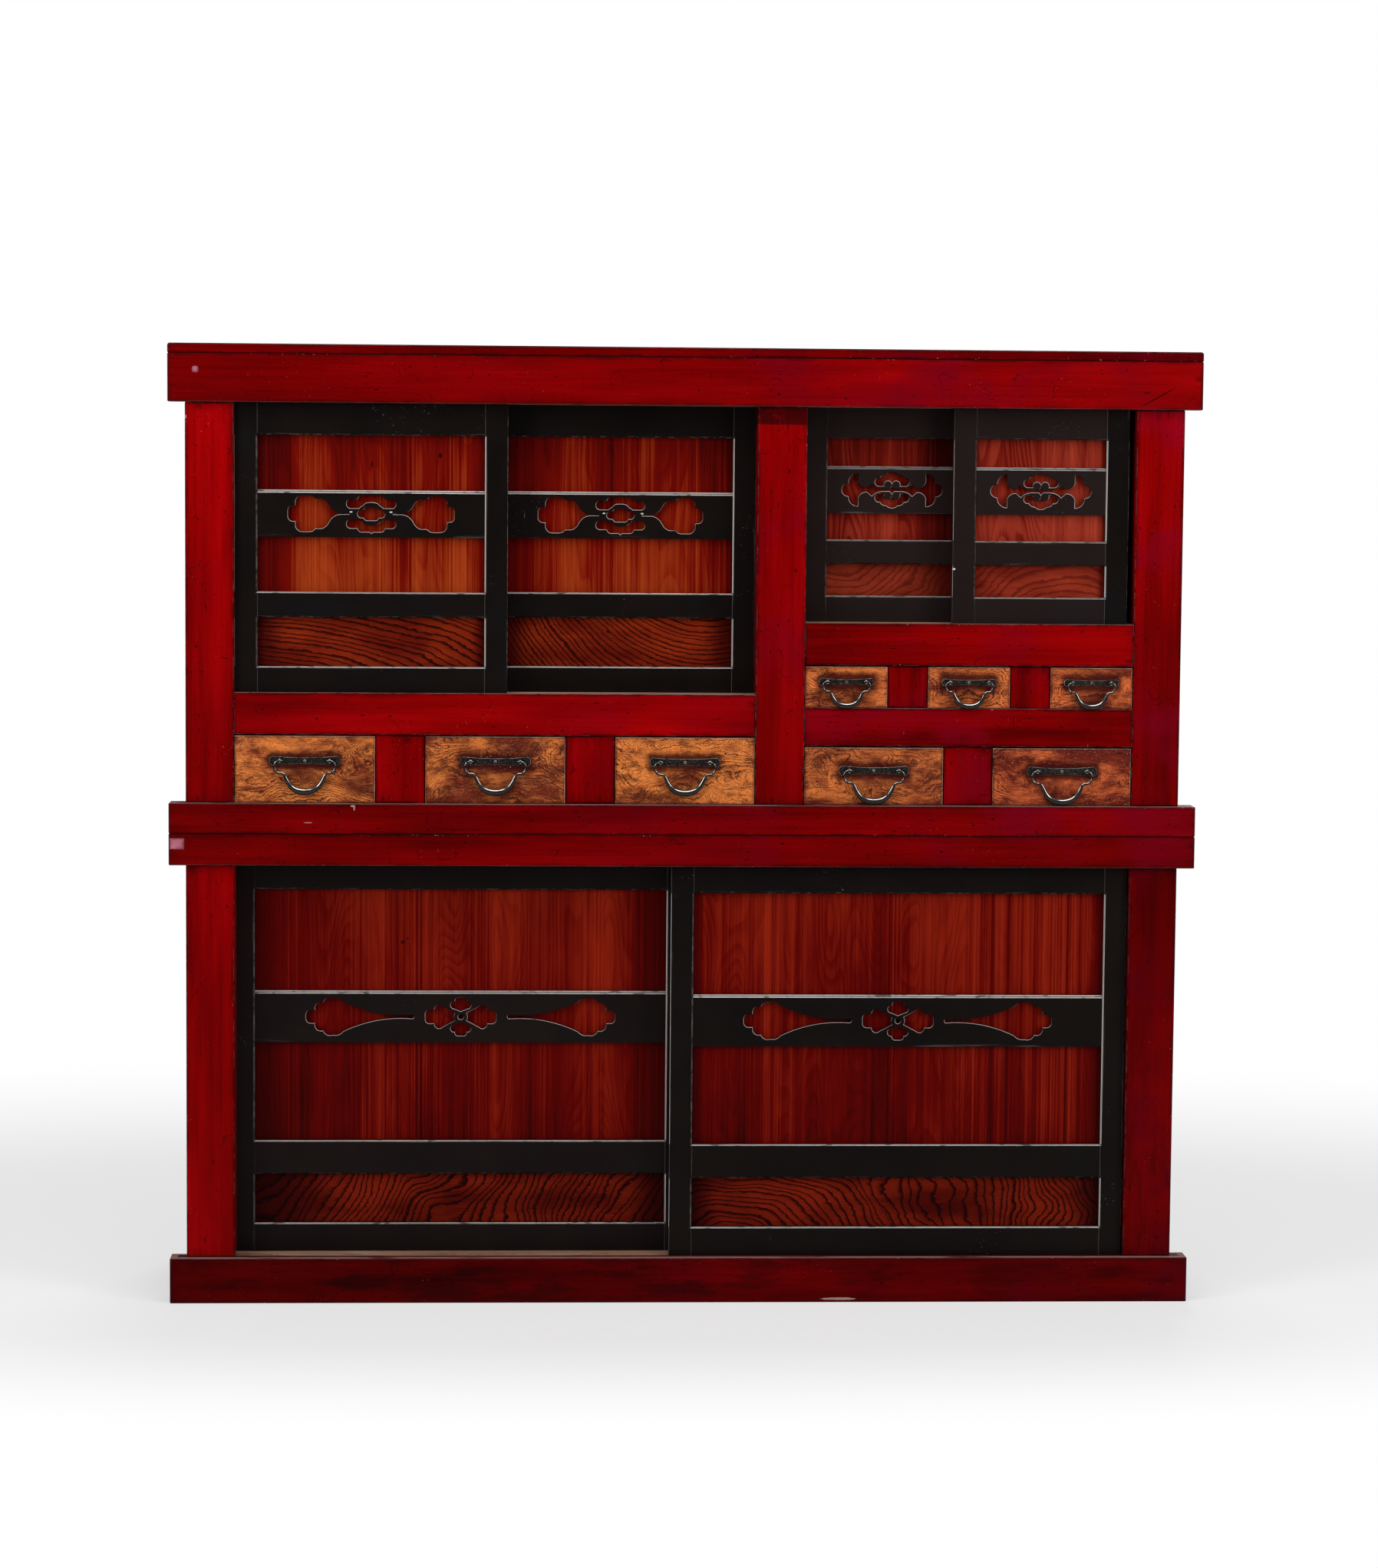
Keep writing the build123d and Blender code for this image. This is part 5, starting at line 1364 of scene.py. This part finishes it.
def finishes() -> dict[str, Finish]:
    """The finishes that several pieces share, by their short names."""
    return {
        "red": RedLacquer("red wiping lacquer", roughness=0.3, gloss=0.02, marks=RED_MARKS),
        "wash": RedLacquer("thin red wash", roughness=0.62, gloss=0.15, relief_mm=0.5,
                           bright=(0.16, 0.012, 0.008), middle=(0.11, 0.008, 0.006),
                           deep=(0.07, 0.006, 0.004)),
        "black": BlackLacquer("black lacquer", roughness=0.36, gloss=0.06, marks=DOOR_MARKS),
        "iron": WroughtIron("forged iron plate", roughness=0.32, gloss=0.4, relief_mm=0.5,
                            black=(0.022, 0.021, 0.02), rubbed=0.7),
        "grip": WroughtIron("forged iron bail", roughness=0.1, gloss=0.5, relief_mm=0.1, hammer=150.0,
                            black=(0.04, 0.038, 0.036), rubbed=0.2, hand_marks_and_painted_light=0.9),
        "peg": RedLacquer("worn peg", roughness=0.4, gloss=0.02, bright=(0.7, 0.26, 0.32),
                          middle=(0.5, 0.15, 0.2), deep=(0.3, 0.07, 0.1)),
        "cedar": BareCedar("bare cedar", roughness=0.75, gloss=0.2, relief_mm=0.4),
        "bamboo": BareCedar("bamboo peg", roughness=0.5, light=(0.5, 0.3, 0.12), dark=(0.3, 0.16, 0.06)),
        "front": DrawerFront("oiled zelkova", roughness=0.45, gloss=0.08, relief_mm=0.2)}


def doors() -> list[tuple[SlidingDoor, Finish, Finish]]:
    """Each door, the finish of its plain panel and that of its figured one."""
    left = dict(roughness=0.4, shade_mm=(90.0, 22.0), lift=-0.35, marks=LEFT_KNOTS)
    right = dict(light=(0.37, 0.044, 0.021), middle=(0.15, 0.0065, 0.003), dark=(0.03, 0.0012, 0.0008),
                 lift=-0.2, flames=0.24, ribs=0.45)
    low = dict(light=(0.28, 0.016, 0.0045), middle=(0.115, 0.0012, 0.0006),
               dark=(0.035, 0.0006, 0.0005), lift=0.35, marks=LOWER_KNOTS)
    soft = dict(roughness=0.42, light=(0.25, 0.028, 0.011), middle=(0.09, 0.005, 0.0025),
                dark=(0.05, 0.003, 0.002), pitch=0.013, sway=0.06, swirl=(7.0, 10.0), strength=0.6)
    soft_pale = dict(soft, light=(0.33, 0.036, 0.014), middle=(0.13, 0.008, 0.004))
    deep = dict(light=(0.21, 0.013, 0.0032), middle=(0.056, 0.0016, 0.0008),
                dark=(0.008, 0.0007, 0.0007), pitch=0.0135, sway=0.24, swirl=(3.6, 5.5))
    return [
        (SlidingDoor("upper_left_front_door", Bend(-0.2, -0.12, 2.6), -0.03, 0.03),
         StainedBoard("stained cedar 1", bands=(
             (0.0, 0.22), (0.11, 0.3), (0.2, 0.68), (0.27, 0.78), (0.36, 0.5), (0.55, 0.52),
             (0.62, 0.48), (0.70, 0.66), (0.78, 0.55), (0.88, 0.7), (1.0, 0.35)), **left),
         FiguredBoard("figured zelkova 1")),
        (SlidingDoor("upper_left_rear_door", Bend(0.152, 0.217), -0.03),
         StainedBoard("stained cedar 2", bands=(
             (0.0, 0.55), (0.12, 0.5), (0.19, 0.36), (0.28, 0.66), (0.38, 0.56), (0.5, 0.54),
             (0.66, 0.6), (0.74, 0.58), (0.84, 0.46), (0.92, 0.42), (1.0, 0.1)), **left),
         FiguredBoard("figured zelkova 2", shade_mm=(50.0, 60.0))),
        (SlidingDoor("upper_right_rear_door", Bend(-0.1, 0.1), -0.42),
         # Its tone falls dark towards the right: a painted shadow of the front door's stile.
         StainedBoard("stained cedar 3", shade_mm=(8.0, 12.0), bands=(
             (0.0, 0.5), (0.3, 0.52), (0.45, 0.6), (0.6, 0.5), (0.74, 0.3), (0.86, 0.12),
             (1.0, 0.05)), **right),
         FiguredBoard("figured zelkova 3", shade_mm=(8.0, 70.0), **soft)),
        (SlidingDoor("upper_right_front_door", Bend(0.05, -0.16), -0.38, 0.4),
         StainedBoard("stained cedar 4", shade_mm=(8.0, 14.0), bands=(
             (0.0, 0.62), (0.16, 0.76), (0.35, 0.72), (0.55, 0.7), (0.66, 0.6), (0.8, 0.66),
             (0.94, 0.76), (1.0, 0.5)), **right),
         FiguredBoard("figured zelkova 4", shade_mm=(3.0, 20.0), **soft_pale)),
        (SlidingDoor("lower_rear_door", Bend(-0.5, 0.2), -0.15),
         StainedBoard("stained cedar 5", shade_mm=(150.0, 110.0), bands=(
             (0.0, 0.45), (0.3, 0.56), (0.5, 0.5), (0.62, 0.62), (0.72, 0.48), (0.8, 0.68),
             (1.0, 0.5)), **low),
         FiguredBoard("figured zelkova 5", shade_mm=(190.0, 90.0), **deep)),
        (SlidingDoor("lower_front_door", Bend(-0.3, -0.2), -0.03),
         StainedBoard("stained cedar 6", shade_mm=(30.0, 30.0), bands=(
             (0.0, 0.5), (0.4, 0.56), (0.46, 0.42), (0.6, 0.66), (0.76, 0.5), (0.86, 0.62),
             (1.0, 0.5)), **low),
         FiguredBoard("figured zelkova 6", shade_mm=(60.0, 60.0), **deep))]


DRAWERS = (
    SmallDrawer("left_drawer_1", -0.08), SmallDrawer("left_drawer_2", -0.05, 0.1),
    SmallDrawer("left_drawer_3", 0.17), SmallDrawer("right_drawer_1", 0.1, 0.25),
    SmallDrawer("right_drawer_2", -0.1, 0.8), SmallDrawer("small_drawer_1", 0.25, 0.35),
    SmallDrawer("small_drawer_2", 0.1, 0.45), SmallDrawer("small_drawer_3", 0.0, 0.7))


def main() -> None:
    """Build the finishes, dress every sub-assembly, add nails and pegs, and set the stage."""
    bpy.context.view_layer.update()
    Studio().build()
    paints = {name: finish.build() for name, finish in finishes().items()}
    Carcass().build(paints)
    for door, board, figured in doors():
        door.build(paints["black"], board.build(), figured.build())
    fastenings = Fastenings(NailField(), paints)
    for drawer in DRAWERS:
        drawer.build(paints)
        fastenings.drawer_pegs(drawer.name)
    fastenings.wall_nails()
    fastenings.top_pegs()


if __name__ == "__main__":
    logging.basicConfig(level=logging.INFO, format="%(message)s")
    main()
